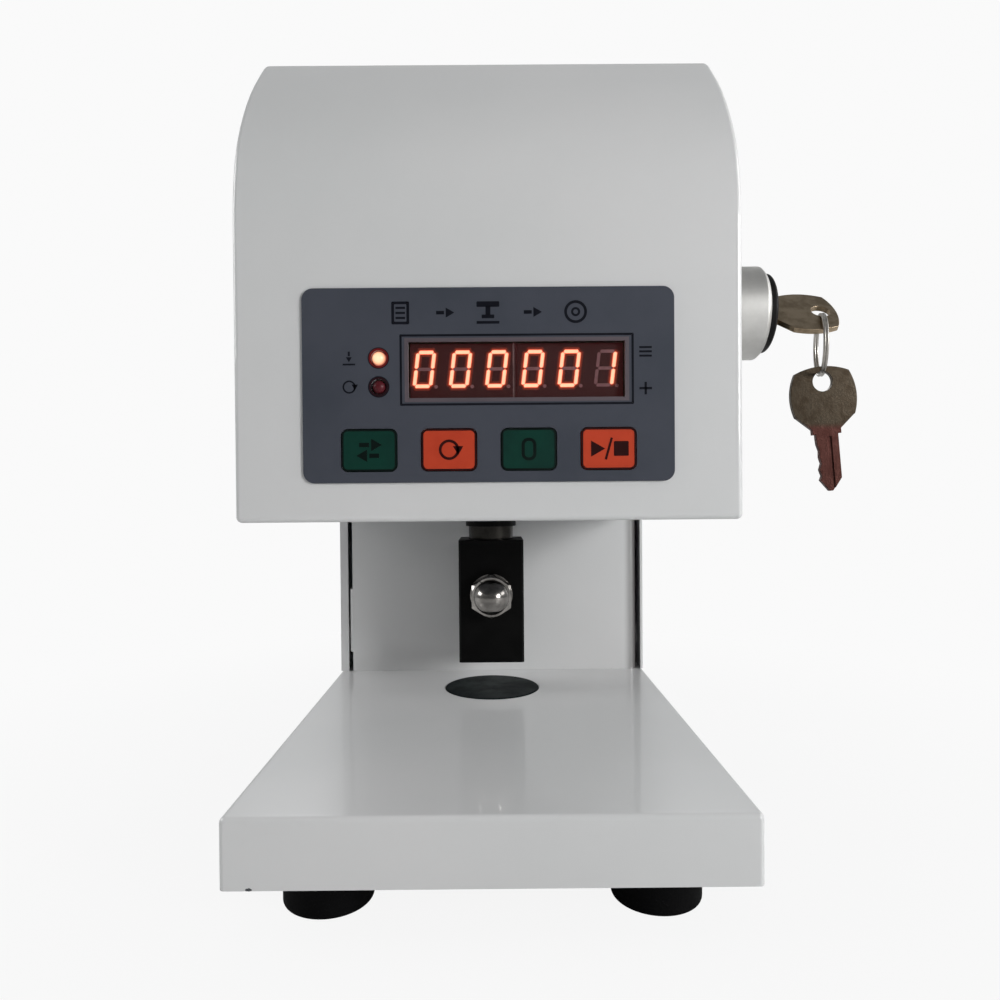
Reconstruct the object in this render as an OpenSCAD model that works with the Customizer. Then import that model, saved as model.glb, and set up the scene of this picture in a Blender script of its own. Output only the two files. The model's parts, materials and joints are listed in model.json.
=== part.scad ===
// Electric paper embosser: a cam-driven seal press with a control head, a column and a base tray.
// Frame: +Z up, +X to the right of the control panel, -Y towards the person at the machine.
// The origin lies on the table, straight below the ram axis.

/* [Body] */
// Width of the base, column and head
body_w = 180; // [172:1:200]
// Length of the base from front to back
base_l = 300; // [296:1:330]
// Distance from the ram axis to the base front
base_front = 166; // [155:1:168]
// Distance from the ram axis to the head front
head_front = 145; // [138:1:150]
// Thickness of the painted sheet
sheet_t = 1.5; // [1:0.1:2]
// Radius of the rounded housing edges
edge_r = 2; // [1.8:0.2:4]

/* [Base] */
// Diameter of a rubber foot
foot_d = 33; // [26:1:38]
// Height of a rubber foot
foot_h = 20; // [16:1:26]
// Distance from a foot's axis to the side of the base
foot_inset_x = 30; // [24:1:40]
// Distance from a foot's axis to the end of the base
foot_inset_y = 30; // [24:1:40]
// Height of the base cover
base_cover_h = 24; // [22:1:30]
// How far the cover's skirt hangs below the base plate
skirt_drop = 2; // [1:0.5:4]
// Thickness of the base plate
base_plate_t = 8; // [6:0.5:9]
// Diameter of the lower die pad
pad_d = 50.6; // [44:0.2:56]
// Thickness of the lower die pad
pad_t = 6.4; // [5:0.2:8]
// Height of the pad's face above the base cover
pad_proud = 0.4; // [0.2:0.1:1]

/* [Column] */
// Distance from the ram axis to the column front
throat = 40; // [36:1:46]
// Height of the column between base and head
column_h = 96; // [92:1:110]
// Width of the return flange at the front of the left side
return_w = 4.6; // [3:0.2:8]
// Slot between that flange and the front panel
left_slot = 2.6; // [1.5:0.1:4]
// Slot between the front panel and the right side sheet
right_slot = 2.3; // [1.5:0.1:4]
// Outer bend radius at the edges of the front panel
bend_r = 4; // [3:0.5:6]
// Depth of the front panel's bent flanges
panel_flange = 18; // [10:1:26]
// Slot between the return flange and the front panel's tab
tab_slot = 0.8; // [0.5:0.1:1.4]
// Height of the left flange's tab above the base
tab_lift = 11.5; // [6:0.5:20]
// Height of the left flange's tab
tab_h = 37.5; // [20:0.5:50]
// Width of the rear flanges of the side sheets
rear_flange_w = 22; // [18:1:28]

/* [Head] */
// Height of the head
head_h = 196; // [192:1:215]
// Radius of the rounded forehead
forehead_r = 90; // [60:1:110]
// Width of the lip folded in under the head
lip_w = 10; // [9:0.5:14]

/* [Frame] */
// Space between a frame plate and the side of the body
side_room = 42; // [40:0.5:44]
// Thickness of a frame plate
frame_t = 10; // [8:0.5:12]
// Reach of the lower arm in front of the ram axis
lower_reach = 70; // [60:1:90]
// Reach of the upper arm in front of the ram axis
upper_reach = 48; // [46:1:60]
// Radius of the fillets in the throat of the frame
fillet_r = 5; // [3:0.5:7]
// Space between the frame and the back of the body
frame_rear_gap = 14; // [10:0.5:20]
// Space between the frame and the top of the head
frame_headroom = 34; // [26:1:40]
// Diameter of a tie rod between the plates
tie_d = 12; // [10:0.5:14]

/* [Ram] */
// Diameter of the ram shaft
shaft_d = 24; // [22:0.5:26]
// Width of the die holder
block_w = 34; // [30:0.5:40]
// Depth of the die holder
block_d = 33; // [30:0.5:38]
// Length of bright shaft between the die holder and the guide bush
shaft_show = 7; // [4:0.5:10]
// Open height between pad and die holder
die_gap = 16.6; // [14:0.2:20]
// Travel of the ram
stroke = 12; // [8:0.5:13]
// Diameter of the upper die's socket
socket_d = 16; // [12:0.5:20]
// Depth of the upper die's socket
socket_depth = 16; // [12:0.5:18]
// Height of the clamp nut's axis above the die holder's face
clamp_lift = 35.6; // [31:0.2:37]
// Width across flats of the clamp nut
nut_af = 20; // [18:0.5:22]
// Wall of the guide bush
bush_wall = 1.5; // [1:0.1:2.5]
// How far the guide bush shows under the head
bush_drop = 8; // [3:0.5:10]
// Height of the guide block
guide_h = 36; // [30:1:38]

/* [Cam drive] */
// Diameter of the cam shaft
cam_shaft_d = 14; // [12:0.5:16]
// Least radius of the cam
cam_base_r = 18; // [16:0.5:20]
// Diameter of the follower roller
roller_d = 18; // [16:0.5:20]
// Width of the cam and of its roller
cam_w = 10; // [8:0.5:11]
// Tooth module of the gears
gear_module = 2; // [1.9:0.05:2.05]
// Teeth of the cam gear
gear_teeth = 42; // [40:2:44]
// Teeth of the pinion
pinion_teeth = 14; // [14:2:16]
// Width of the cam gear
gear_w = 10; // [8:0.5:11]
// Length of the return spring between its seats
spring_l = 28; // [26:0.5:30]
// Wire diameter of the return spring
spring_wire = 2.4; // [2:0.1:2.6]
// Turns of the return spring
spring_turns = 5; // [4:0.5:5.5]
// Diameter of the motor
motor_d = 34; // [28:0.5:35]
// Length of the motor
motor_l = 80; // [60:1:90]

/* [Control panel] */
// Width of the grey overlay
panel_w = 131; // [126:0.5:140]
// Height of the grey overlay
panel_h = 68.5; // [66:0.5:74]
// Height of the overlay above the head's underside
panel_lift = 13.8; // [12:0.2:18]
// Thickness of the overlay
overlay_t = 0.8; // [0.6:0.1:1.2]
// Width of the display window
window_w = 76; // [75.6:0.1:80]
// Height of the display window
window_h = 19.8; // [19.4:0.1:22]
// Display centre's distance to the right of the panel centre
window_shift = 10; // [7:0.5:12]
// Display centre's distance below the panel's top
window_drop = 28.9; // [26:0.1:31]
// Width of a press key
key_cap_w = 19.2; // [16:0.2:22]
// Height of a press key
key_cap_h = 14.6; // [12:0.2:16]
// Spacing of the press keys
key_pitch = 28.1; // [25:0.1:30]
// Distance of the press keys below the panel's top
key_drop = 57; // [55:0.2:58]
// Travel of a press key
key_travel = 0.4; // [0.2:0.05:0.6]
// Lamp diameter
led_d = 5; // [4:0.1:5.6]
// Distance of the lamps to the left of the panel centre
led_shift = 38.6; // [37.5:0.1:42]
// Distance of the upper lamp below the panel's top
led_drop = 24.6; // [22:0.1:25.5]
// Spacing of the two lamps
led_pitch = 10.1; // [8:0.1:11]

/* [Key switch] */
// Distance of the switch axis behind the head front
lock_back = 37; // [34:0.5:44]
// Height of the switch axis above the head's underside
lock_lift = 80.8; // [70:0.2:90]
// Diameter of the bright bezel
bezel_d = 36.5; // [34:0.5:40]
// Length of the bezel outside the head
bezel_l = 17.8; // [14:0.2:22]
// Diameter of the black insert
insert_d = 31; // [28:0.5:32]
// Length of the insert in front of the bezel
insert_proud = 3.2; // [1:0.2:5]
// Diameter of the threaded lock body
barrel_d = 24; // [22:0.5:25]
// Diameter of the turning plug
plug_d = 16; // [14:0.5:17]
// Angle of the key's blade from the level
key_roll = 44; // [42:1:54]

/* [Keys] */
// Whole length of a key
key_l = 50; // [46:0.5:54]
// Width of a key's bow
bow_w = 26.5; // [25:0.5:28]
// Length of a key's bow
bow_l = 20; // [18:0.5:22]
// Width of a key's blade
blade_w = 9; // [7:0.2:10]
// Thickness of a key
key_t = 2.2; // [1.8:0.1:2.4]
// Diameter of the ring hole in the bow
key_hole_d = 7.5; // [7.2:0.1:8.5]
// Distance of the ring hole from the end of the bow
key_hole_in = 6.1; // [5.6:0.1:7]
// Radius of the key ring at the middle of its wire
ring_r = 12; // [11.6:0.1:12.4]
// Wire diameter of the key ring
ring_wire = 1.1; // [0.9:0.05:1.2]
// Turn of the ring's plane away from the switch face
ring_turn = 14; // [8:1:18]
// Lean of the hanging key
spare_lean = 4.8; // [0:0.2:6]

/* [Hidden] */
$fn = 48;
hull_fn = 32;
forehead_steps = 18;
corner_steps = 4;
edge_steps = 5;
edge_sweep = 80;

// Clearances
slide_gap = 0.05;
seat_gap = 0.03;
screw_gap = 0.1;
fit_gap = 0.3;
cut_gap = 0.5;
over = 1;

// Levels from the table up
skirt_z = foot_h - skirt_drop;
base_top = skirt_z + base_cover_h;
plate_top = foot_h + base_plate_t;
arm_top = base_top - sheet_t;
pad_top = base_top + pad_proud;
anvil_top = pad_top - pad_t;
head_z = base_top + column_h;
head_top = head_z + head_h;
floor_z = head_z + sheet_t;
floor_top = floor_z + sheet_t;
block_z = pad_top + die_gap;
block_top = head_z - bush_drop - shaft_show;
block_h = block_top - block_z;
clamp_z = block_z + clamp_lift;

// Depths from the ram axis
body_rear = base_l - base_front;
inner_front = sheet_t - head_front;
inner_rear = body_rear - sheet_t;
spine_y = throat + sheet_t + fillet_r + 2 * cut_gap;
spine_cut = spine_y - fillet_r - cut_gap;
frame_rear = body_rear - frame_rear_gap;
half_w = body_w / 2;
inner_w = half_w - sheet_t;
tab_bend_r = sheet_t + fit_gap;
tab_root = 3;

// Frame plates and what crosses them
plate_out = half_w - side_room;
plate_in = plate_out - frame_t;
frame_top = head_top - frame_headroom;
tie_inset = 12;
tie_margin = 20;
tie_thread_d = 8;
tie_nut_t = 6;
tie_nut_d = tie_d + 2;
anvil_side_gap = 6;
tie_places = [
    [frame_rear - tie_margin, arm_top + tie_margin],
    [frame_rear - tie_margin, frame_top - tie_inset],
    [tie_inset - upper_reach, floor_top + tie_margin],
    [spine_y + tie_inset, head_z - tie_margin]
];

// Ram, spring and cam
bush_d = shaft_d + 2 * (slide_gap + bush_wall);
guide_top = floor_top + guide_h;
guide_half = 22;
spring_top = guide_top + spring_l;
spring_play = 0.2;
spring_r = bush_d / 2 + spring_wire / 2 + spring_play;
collar_rim = 1;
collar_d = 2 * (spring_r + collar_rim) + spring_wire;
collar_t = 5;
fork_gap = 1;
fork_l = 5;
slot_z = spring_top + collar_t + fork_gap;
roller_z = slot_z + fork_gap + roller_d / 2;
ram_top = roller_z + fork_l;
pin_d = 6;
spigot_d = 16;
spigot_below = 9;
spigot_l = block_top - clamp_z + spigot_below;
stud_d = 8;
washer_t = 1.6;
washer_rim = 1;
nut_t = 9;
nut_bevel = 3.5;
dome_step = 1;
cam_z = roller_z + roller_d / 2 + fit_gap + cam_base_r;
cam_pitch_r = cam_base_r + roller_d / 2 + fit_gap;
cam_steps = 90;

// Gears
pressure_angle = 25;
addendum = 0.9;
dedendum = 1.15;
backlash = 0.3;
flank_steps = 4;
pinion_y = gear_module * (gear_teeth + pinion_teeth) / 2;
gear_side_gap = 3;
gear_x = gear_side_gap - plate_in;
gear_hub_d = 26;
gear_hub_l = 6;
pinion_shaft_d = 10;
pinion_shaft_in = 12;
pinion_shaft_out = 4;
bush_out_wall = 4;
bush_out_d = cam_shaft_d + 2 * bush_out_wall;
bush_flange_rim = 2;
bush_flange_t = 2;
clip_t = 1.2;
clip_rim = 3;
shaft_out = 5;
shaft_end = plate_out + shaft_out;
disc_d = 44;
disc_side_gap = 12;
disc_x = plate_in - disc_side_gap;
disc_t = 2;
notch_w = 3;
notch_depth = 6;
sensor_half = 6;
sensor_wall = 6;
sensor_gap = 1;
sensor_top = 10;
sensor_foot = 4;

// Gearbox and motor on the left plate
gearbox_w = 34;
gearbox_l = 50;
gearbox_drop = 25;
gearbox_h = 64;
gearbox_r = 6;
motor_gap = 1;
motor_lift = 22;
motor_x = -plate_out - motor_gap - motor_d / 2;
motor_z = cam_z + motor_lift;
motor_bevel = 3;
motor_nose_r = 6;
motor_nose_l = 4;
boss_d = 24;

// Power supply on the right plate
supply_w = 30;
supply_h = 60;
supply_drop = 68;
supply_front = 20;
supply_rear_gap = 10;
supply_wall = 1.5;
supply_board_t = 1.6;
supply_board_gap = 1.5;
coil_w = 22;
coil_l = 35;
coil_h = 34;

// Control panel, measured from its top edge
panel_z = head_z + panel_lift;
panel_top = panel_z + panel_h;
panel_r = 4;
window_z = panel_top - window_drop;
key_z = panel_top - key_drop;
led_places = [panel_top - led_drop, panel_top - led_drop - led_pitch];
module_w = 37.6;
module_h = 19;
module_t = 8;
board_gap = 0.2;
board_y = inner_front + module_t + board_gap;
board_t = 1.6;
board_w = 124;
board_h = 63;
board_z = panel_z + panel_h / 2;
board_inset = 3.5;
stand_d = 6;
tact_w = 6;
tact_t = 3.6;
tact_push_d = 3.4;
tact_push_l = 1;
key_proud = 0.3;
key_cap_t = 3;
key_cap_r = 2.2;
window_proud = 0.1;
lamp_proud = 0.9;
lamp_rim = 0.4;
module_gap = 0.1;

// Key switch
lock_y = lock_back - head_front;
lock_z = head_z + lock_lift;
bezel_end = half_w + bezel_l;
bezel_web = 6;
insert_end = bezel_end + insert_proud;
barrel_in = 32;
barrel_x = half_w - barrel_in;
barrel_end_t = 3;
plug_x = barrel_x + barrel_end_t;
plug_proud = 0.4;
lock_nut_t = 6;
lock_nut_rim = 5;
contact_l = 24;
contact_w = 26;
contact_h = 22;
tag_pitch = 8;
tag_l = 7;
tag_t = 0.8;
tag_w = 6;
shoulder_l = 7.2;
bow_low = key_l - bow_l;
blade_l = bow_low - shoulder_l;
neck_gap = 0.8;
key_tip_x = insert_end + neck_gap - blade_l;
key_hole_x = key_tip_x + key_l - key_hole_in;
ring_shift = 0.4;
ring_play = 0.6;
strand_pitch = 0.9 * ring_wire;
ring_x = key_hole_x + ring_shift;
ring_drop = ring_r + ring_play;
ring_z = lock_z - ring_drop;
wire_z = ring_z - ring_r;
spare_play = 0.45;
spare_hang = key_hole_d / 2 - ring_wire / 2 - spare_play;
neck_w = 11.6;
neck_l = 2;
bow_corner = 1.6;
blade_tip_l = 5;
blade_tip_w = 1.6;
cut_pitch = 2.5;
cut_depths = [0, 1.1, 0.4, 1.3, 0.7, 0.9, 0.2, 0];
groove_t = 0.5;
groove_w = 2;
groove_shift = 0.6;

// Rear cover and its pieces
rear_margin = 12;
rear_lift = 8;
rear_r = 5;
rear_half = half_w - rear_margin;
rear_low = base_top + rear_lift;
rear_high = head_top - rear_margin;
rear_open_margin = 24;
rear_open_lift = 14;
rear_open_half = half_w - rear_open_margin;
rear_open_low = head_z + rear_open_lift;
rear_open_high = head_top - rear_margin - rear_lift;
rear_screw_in = 5;
rear_screw_lift = 10;
rear_screw_x = rear_half - rear_screw_in;
rear_screw_z = [
    rear_low + rear_screw_lift, head_z - rear_lift - rear_screw_lift,
    rear_open_low + rear_screw_lift, rear_high - rear_open_lift
];
inlet_lift = 42;
inlet_z = base_top + inlet_lift;
inlet_w = 27.5;
inlet_h = 20;
inlet_depth = 18;
inlet_rim = 6;
inlet_rim_t = 2.5;
inlet_wall = 2;
inlet_floor_t = 3;
prong_w = 2;
prong_h = 4;
prong_pitch = 7;
prong_shift = 2.5;
prong_back = 3;
vent_w = 70;
vent_h = 4;
vent_pitch = 11;
vent_count = 6;
vent_drop = 30;
cover_screw_back = 45;
cover_screw_gap = 20;
cover_screw_y = [cover_screw_back - head_front, throat - cover_screw_gap];
cover_screw_in = 3;
cover_screw_x = half_w - edge_r - cover_screw_in;
cover_screw_l = 8;

// Screws: thread diameter, head diameter, head height
m3 = [3, 5.6, 2];
m5 = [5, 10, 4];
m6 = [6, 10, 4];
foot_seat = 6;
foot_edge_r = 2;
frame_screw_front = 15;
frame_screw_mid = 25;
frame_screw_rear = 45;
frame_screw_y = [frame_screw_front - lower_reach, spine_y - frame_screw_mid, frame_rear - frame_screw_rear];
frame_screw_in = 9;
frame_screw_l = base_plate_t + frame_screw_in;
guide_screw_y = 14;
guide_screw_l = 26;
board_screw_l = 6;

// Shared shapes

module block(low, high) {
    translate(low) cube(high - low);
}

module rod_x(d, x0, x1) {
    translate([x0, 0, 0]) rotate([0, 90, 0]) cylinder(d = d, h = x1 - x0);
}

module rod_y(d, y0, y1) {
    translate([0, y0, 0]) rotate([-90, 0, 0]) cylinder(d = d, h = y1 - y0);
}

module rod_z(d, z0, z1) {
    translate([0, 0, z0]) cylinder(d = d, h = z1 - z0);
}

// A (y, z) profile extruded along X
module profile_x(x0, x1) {
    translate([x0, 0, 0]) rotate([90, 0, 90]) linear_extrude(x1 - x0) children();
}

// An (x, z) profile extruded along Y
module profile_y(y0, y1) {
    translate([0, y1, 0]) rotate([90, 0, 0]) linear_extrude(y1 - y0) children();
}

module round_rect(w, h, r) {
    square([w, h - 2 * r], center = true);
    square([w - 2 * r, h], center = true);
    for (sx = [-1, 1], sy = [-1, 1]) {
        translate([sx * (w / 2 - r), sy * (h / 2 - r)]) circle(r);
    }
}

// Round ball whose poles and sides reach the full radius
module ball(r) {
    rotate_extrude($fn = hull_fn) intersection() {
        circle(r, $fn = hull_fn);
        translate([0, -r]) square([r, 2 * r]);
    }
}

// Pan-head screw along +Z with its head's seat at z = 0
module screw(size, l) {
    rod_z(size[0], -over / 10, l);
    rotate_extrude() polygon([
        [0, -size[2]], [size[1] / 2 - 0.8, -size[2]], [size[1] / 2, 0.8 - size[2]], [size[1] / 2, 0], [0, 0]
    ]);
}

module mirror_copy(v) {
    children();
    mirror(v) children();
}

module at_feet() {
    for (x = [foot_inset_x - half_w, half_w - foot_inset_x]) {
        for (y = [foot_inset_y - base_front, body_rear - foot_inset_y]) translate([x, y, 0]) children();
    }
}

module at_frame_screws() {
    for (s = [-1, 1], y = frame_screw_y) translate([s * (plate_in + frame_t / 2), y, foot_h]) children();
}

module at_cam() {
    translate([0, 0, cam_z]) children();
}

module at_pinion() {
    translate([0, pinion_y, cam_z]) children();
}

module at_lock() {
    translate([0, lock_y, lock_z]) children();
}

module at_board_corners() {
    half = board_w / 2 - board_inset;
    rise = board_h / 2 - board_inset;
    for (sx = [-1, 1], sz = [-1, 1]) translate([sx * half, 0, board_z + sz * rise]) children();
}

// Base

module tray(wall) {
    hull() for (sx = [-1, 1], y = [edge_r - base_front, body_rear - edge_r]) {
        translate([sx * (half_w - edge_r), y, 0]) {
            translate([0, 0, skirt_z - wall]) {
                cylinder(r = edge_r - wall, h = base_top - edge_r - skirt_z + wall, $fn = hull_fn);
            }
            translate([0, 0, base_top - edge_r]) ball(edge_r - wall);
        }
    }
}

module base_cover() {
    color("whitesmoke") difference() {
        tray(0);
        tray(sheet_t);
        rod_z(pad_d + 2 * fit_gap, anvil_top, base_top + over);
        mirror_copy([1, 0, 0]) {
            block(
                [plate_in - cut_gap, spine_cut, arm_top - over],
                [plate_out + cut_gap, frame_rear + cut_gap, base_top + over]
            );
        }
    }
}

module base_plate() {
    inset = sheet_t + cut_gap;
    color("dimgray") difference() {
        translate([0, body_rear - base_l / 2, foot_h]) linear_extrude(base_plate_t) {
            round_rect(body_w - 2 * inset, base_l - 2 * inset, edge_r);
        }
        at_feet() rod_z(m5[0] + 2 * screw_gap, foot_h - over, plate_top + over);
        at_frame_screws() {
            rod_z(m6[0] + 2 * fit_gap, -over, base_plate_t + over);
            rod_z(m6[1] + over, -over, m6[2] + cut_gap);
        }
    }
}

module rubber_feet() {
    color("black") at_feet() rotate_extrude() {
        difference() {
            union() {
                square([foot_d / 2 - foot_edge_r, foot_h]);
                translate([0, foot_edge_r]) square([foot_d / 2, foot_h - foot_edge_r]);
                translate([foot_d / 2 - foot_edge_r, foot_edge_r]) circle(foot_edge_r);
            }
            translate([-over, -over]) square([m5[1] / 2 + over + over, foot_h - foot_seat + over]);
            translate([-over, -over]) square([m5[0] / 2 + screw_gap + over, foot_h + 2 * over]);
            translate([-foot_d, -over]) square([foot_d, foot_h + 2 * over]);
        }
    }
}

module foot_screws() {
    long = foot_seat + base_plate_t - over;
    color("silver") at_feet() translate([0, 0, foot_h - foot_seat]) screw(m5, long);
}

module frame_screws() {
    seat = m6[2] + cut_gap;
    color("silver") at_frame_screws() translate([0, 0, seat]) screw(m6, frame_screw_l - seat - over);
}

module anvil_block() {
    half = plate_in - anvil_side_gap;
    color("slategray") difference() {
        block([-half, -half, plate_top], [half, half, anvil_top]);
        rod_z(spigot_d + 2 * seat_gap, plate_top - over, anvil_top + over);
    }
}

module anvil_pad() {
    chamfer = 0.4;
    low = plate_top + over;
    color("darkslategray") rotate_extrude() polygon([
        [0, low], [spigot_d / 2, low], [spigot_d / 2, anvil_top], [pad_d / 2, anvil_top],
        [pad_d / 2, pad_top - chamfer], [pad_d / 2 - chamfer, pad_top], [0, pad_top]
    ]);
}

// Frame

module frame_outline() {
    difference() {
        union() {
            translate([-lower_reach, plate_top]) square([lower_reach + frame_rear, arm_top - plate_top]);
            translate([spine_y, plate_top]) square([frame_rear - spine_y, frame_top - plate_top]);
            translate([-upper_reach, floor_top]) square([upper_reach + frame_rear, frame_top - floor_top]);
            translate([spine_y - fillet_r, arm_top - over]) square([fillet_r + over, fillet_r + over]);
            translate([spine_y - fillet_r, floor_top - fillet_r]) square([fillet_r + over, fillet_r + over]);
        }
        translate([spine_y - fillet_r, arm_top + fillet_r]) circle(fillet_r);
        translate([spine_y - fillet_r, floor_top - fillet_r]) circle(fillet_r);
    }
}

module frame_plate() {
    difference() {
        profile_x(plate_in, plate_out) frame_outline();
        at_cam() rod_x(bush_out_d + 2 * seat_gap, plate_in - over, plate_out + over);
        for (p = tie_places) translate([0, p[0], p[1]]) {
            rod_x(tie_thread_d + 2 * screw_gap, plate_in - over, plate_out + over);
        }
        for (y = [-guide_screw_y, guide_screw_y]) translate([0, y, floor_top + guide_h / 2]) {
            rod_x(m6[0] + 2 * screw_gap, plate_in - over, plate_out + over);
        }
        for (y = frame_screw_y) translate([plate_in + frame_t / 2, y, 0]) {
            rod_z(m6[0] + 2 * screw_gap, plate_top - over, foot_h + frame_screw_l);
        }
    }
}

module left_frame_plate() {
    color("slategray") difference() {
        mirror([1, 0, 0]) frame_plate();
        at_pinion() rod_x(boss_d + 2 * seat_gap, -plate_out - over, -plate_in + over);
    }
}

module right_frame_plate() {
    color("slategray") frame_plate();
}

module tie_rods() {
    nut_end = plate_out + tie_nut_t;
    color("silver") for (p = tie_places) translate([0, p[0], p[1]]) {
        rod_x(tie_d, -plate_in, plate_in);
        rod_x(tie_thread_d, -nut_end, nut_end);
        mirror_copy([1, 0, 0]) translate([plate_out, 0, 0]) rotate([0, 90, 0]) {
            cylinder(d = tie_nut_d, h = tie_nut_t, $fn = 6);
        }
    }
}

module ram_guide_block() {
    color("gray") difference() {
        block([-plate_in, -guide_half, floor_top], [plate_in, guide_half, guide_top]);
        rod_z(bush_d + 2 * seat_gap, floor_top - over, guide_top + over);
        mirror_copy([1, 0, 0]) for (y = [-guide_screw_y, guide_screw_y]) {
            translate([0, y, floor_top + guide_h / 2]) {
                rod_x(m6[0] + 2 * screw_gap, plate_out - guide_screw_l - over, plate_in + over);
            }
        }
    }
}

module guide_screws() {
    color("silver") mirror_copy([1, 0, 0]) for (y = [-guide_screw_y, guide_screw_y]) {
        translate([plate_out, y, floor_top + guide_h / 2]) rotate([0, -90, 0]) screw(m6, guide_screw_l);
    }
}

module guide_bush() {
    color([0.15, 0.15, 0.16]) difference() {
        rod_z(bush_d, head_z - bush_drop, guide_top);
        rod_z(shaft_d + 2 * slide_gap, head_z - bush_drop - over, guide_top + over);
    }
}

// Head and column

// Points of an arc about (y, z)
function arc_points(y, z, r, from, to, steps) = [
    for (i = [0:steps]) let (a = from + (to - from) * i / steps) [y + r * cos(a), z + r * sin(a)]
];

// Side outline of the head, drawn in by an inset, as (y, z) points
function head_outline(inset) = let (r = edge_r - inset) concat(
    arc_points(forehead_r - head_front, head_top - forehead_r, forehead_r - inset, 180, 90, forehead_steps),
    arc_points(body_rear - edge_r, head_top - edge_r, r, 90, 0, corner_steps),
    arc_points(body_rear - edge_r, head_z + edge_r, r, 0, -90, corner_steps),
    arc_points(edge_r - head_front, head_z + edge_r, r, -90, -180, corner_steps)
);

// Head as one loft across its width: outlines that draw in along rounded side edges
module head_form(wall) {
    r = edge_r - wall;
    turns = [for (i = [0:edge_steps]) edge_sweep * i / edge_steps];
    right = [for (b = turns) [half_w - edge_r + r * sin(b) / sin(edge_sweep), edge_r - r * cos(b)]];
    left = [for (i = [edge_steps:-1:0]) [-right[i][0], right[i][1]]];
    rings = concat(left, right);
    points = [for (ring = rings) each [for (p = head_outline(ring[1])) [ring[0], p[0], p[1]]]];
    n = len(head_outline(0));
    last = (len(rings) - 1) * n;
    skin = [for (i = [0:len(rings) - 2], k = [0:n - 1]) let (
        p = i * n + k,
        q = i * n + (k + 1) % n
    ) each [[p, q, p + n], [q, q + n, p + n]]];
    polyhedron(points, concat(skin, [[for (k = [n - 1:-1:0]) k]], [[for (k = [0:n - 1]) last + k]]));
}

module panel_openings(gap) {
    translate([window_shift, window_z]) square([window_w + 2 * gap, window_h + 2 * gap], center = true);
    for (i = [-1.5:1:1.5]) translate([i * key_pitch, key_z]) {
        round_rect(key_cap_w + 2 * gap, key_cap_h + 2 * gap, key_cap_r + gap);
    }
    for (z = led_places) translate([-led_shift, z]) circle(d = led_d + 2 * gap);
}

module at_cover_screws() {
    for (s = [-1, 1], y = cover_screw_y) translate([s * cover_screw_x, y, head_z]) children();
}

module head_cover() {
    color("whitesmoke") difference() {
        head_form(0);
        head_form(sheet_t);
        block(
            [lip_w - half_w, lip_w - head_front, head_z - over],
            [half_w - lip_w, body_rear - lip_w, floor_z + over]
        );
        block(
            [-rear_open_half, inner_rear - over, rear_open_low],
            [rear_open_half, body_rear + over, rear_open_high]
        );
        profile_y(-head_front - over, inner_front + over) panel_openings(fit_gap);
        at_lock() rod_x(barrel_d + 2 * fit_gap, inner_w - over, half_w + over);
        at_cover_screws() rod_z(m3[0] + 2 * screw_gap, -over, sheet_t + over);
        rear_holes();
    }
}

module rear_holes() {
    for (s = [-1, 1], z = rear_screw_z) translate([s * rear_screw_x, 0, z]) {
        rod_y(m3[0] + 2 * screw_gap, inner_rear - over, body_rear + sheet_t + over);
    }
}

module head_floor() {
    inset = edge_r + cut_gap;
    color("lightgray") difference() {
        block([inset - half_w, inset - head_front, floor_z], [half_w - inset, body_rear - inset, floor_top]);
        block(
            [-plate_out - cut_gap, spine_cut, floor_z - over],
            [plate_out + cut_gap, frame_rear + cut_gap, floor_top + over]
        );
        rod_z(bush_d + 2 * fit_gap, floor_z - over, floor_top + over);
        at_cover_screws() rod_z(m3[0] + 2 * screw_gap, -over, 2 * sheet_t + over);
    }
}

module cover_screws() {
    color("silver") {
        at_cover_screws() screw(m3, cover_screw_l);
        for (s = [-1, 1], z = rear_screw_z) {
            translate([s * rear_screw_x, body_rear + sheet_t, z]) rotate([90, 0, 0]) screw(m3, cover_screw_l);
        }
    }
}

module column_front_panel() {
    left = return_w + left_slot - half_w;
    right = inner_w - right_slot;
    tab_x = return_w + tab_slot - half_w;
    tab_flat = tab_x + tab_bend_r;
    back = throat + panel_flange;
    color("whitesmoke") {
        translate([0, 0, base_top]) linear_extrude(column_h) {
            translate([left, throat]) square([right - bend_r - left, sheet_t]);
            bend(right - bend_r, throat + bend_r, bend_r);
            translate([right - sheet_t, throat + bend_r]) square([sheet_t, back - throat - bend_r]);
        }
        translate([0, 0, base_top + tab_lift]) linear_extrude(tab_h) mirror([1, 0]) {
            translate([-left - tab_root, throat]) square([left + tab_root - tab_flat, sheet_t]);
            bend(-tab_flat, throat + tab_bend_r, tab_bend_r);
            translate([-tab_x - sheet_t, throat + tab_bend_r]) square([sheet_t, back - throat - tab_bend_r]);
        }
    }
}

// Quarter turn of a bent sheet from facing front to facing +X
module bend(x, y, r) {
    translate([x, y]) difference() {
        intersection() {
            circle(r);
            translate([0, -r]) square(r);
        }
        circle(r - sheet_t);
    }
}

module column_left_side() {
    color("whitesmoke") difference() {
        translate([0, 0, base_top]) linear_extrude(column_h) {
            translate([-half_w, throat]) square([sheet_t, body_rear - throat]);
            translate([-half_w, throat]) square([return_w, sheet_t]);
            translate([-half_w, inner_rear]) square([rear_flange_w, sheet_t]);
        }
        rear_holes();
    }
}

module column_right_side() {
    color("whitesmoke") difference() {
        translate([0, 0, base_top]) linear_extrude(column_h) {
            translate([inner_w, throat]) square([sheet_t, body_rear - throat]);
            translate([half_w - rear_flange_w, inner_rear]) square([rear_flange_w, sheet_t]);
        }
        rear_holes();
    }
}

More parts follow.
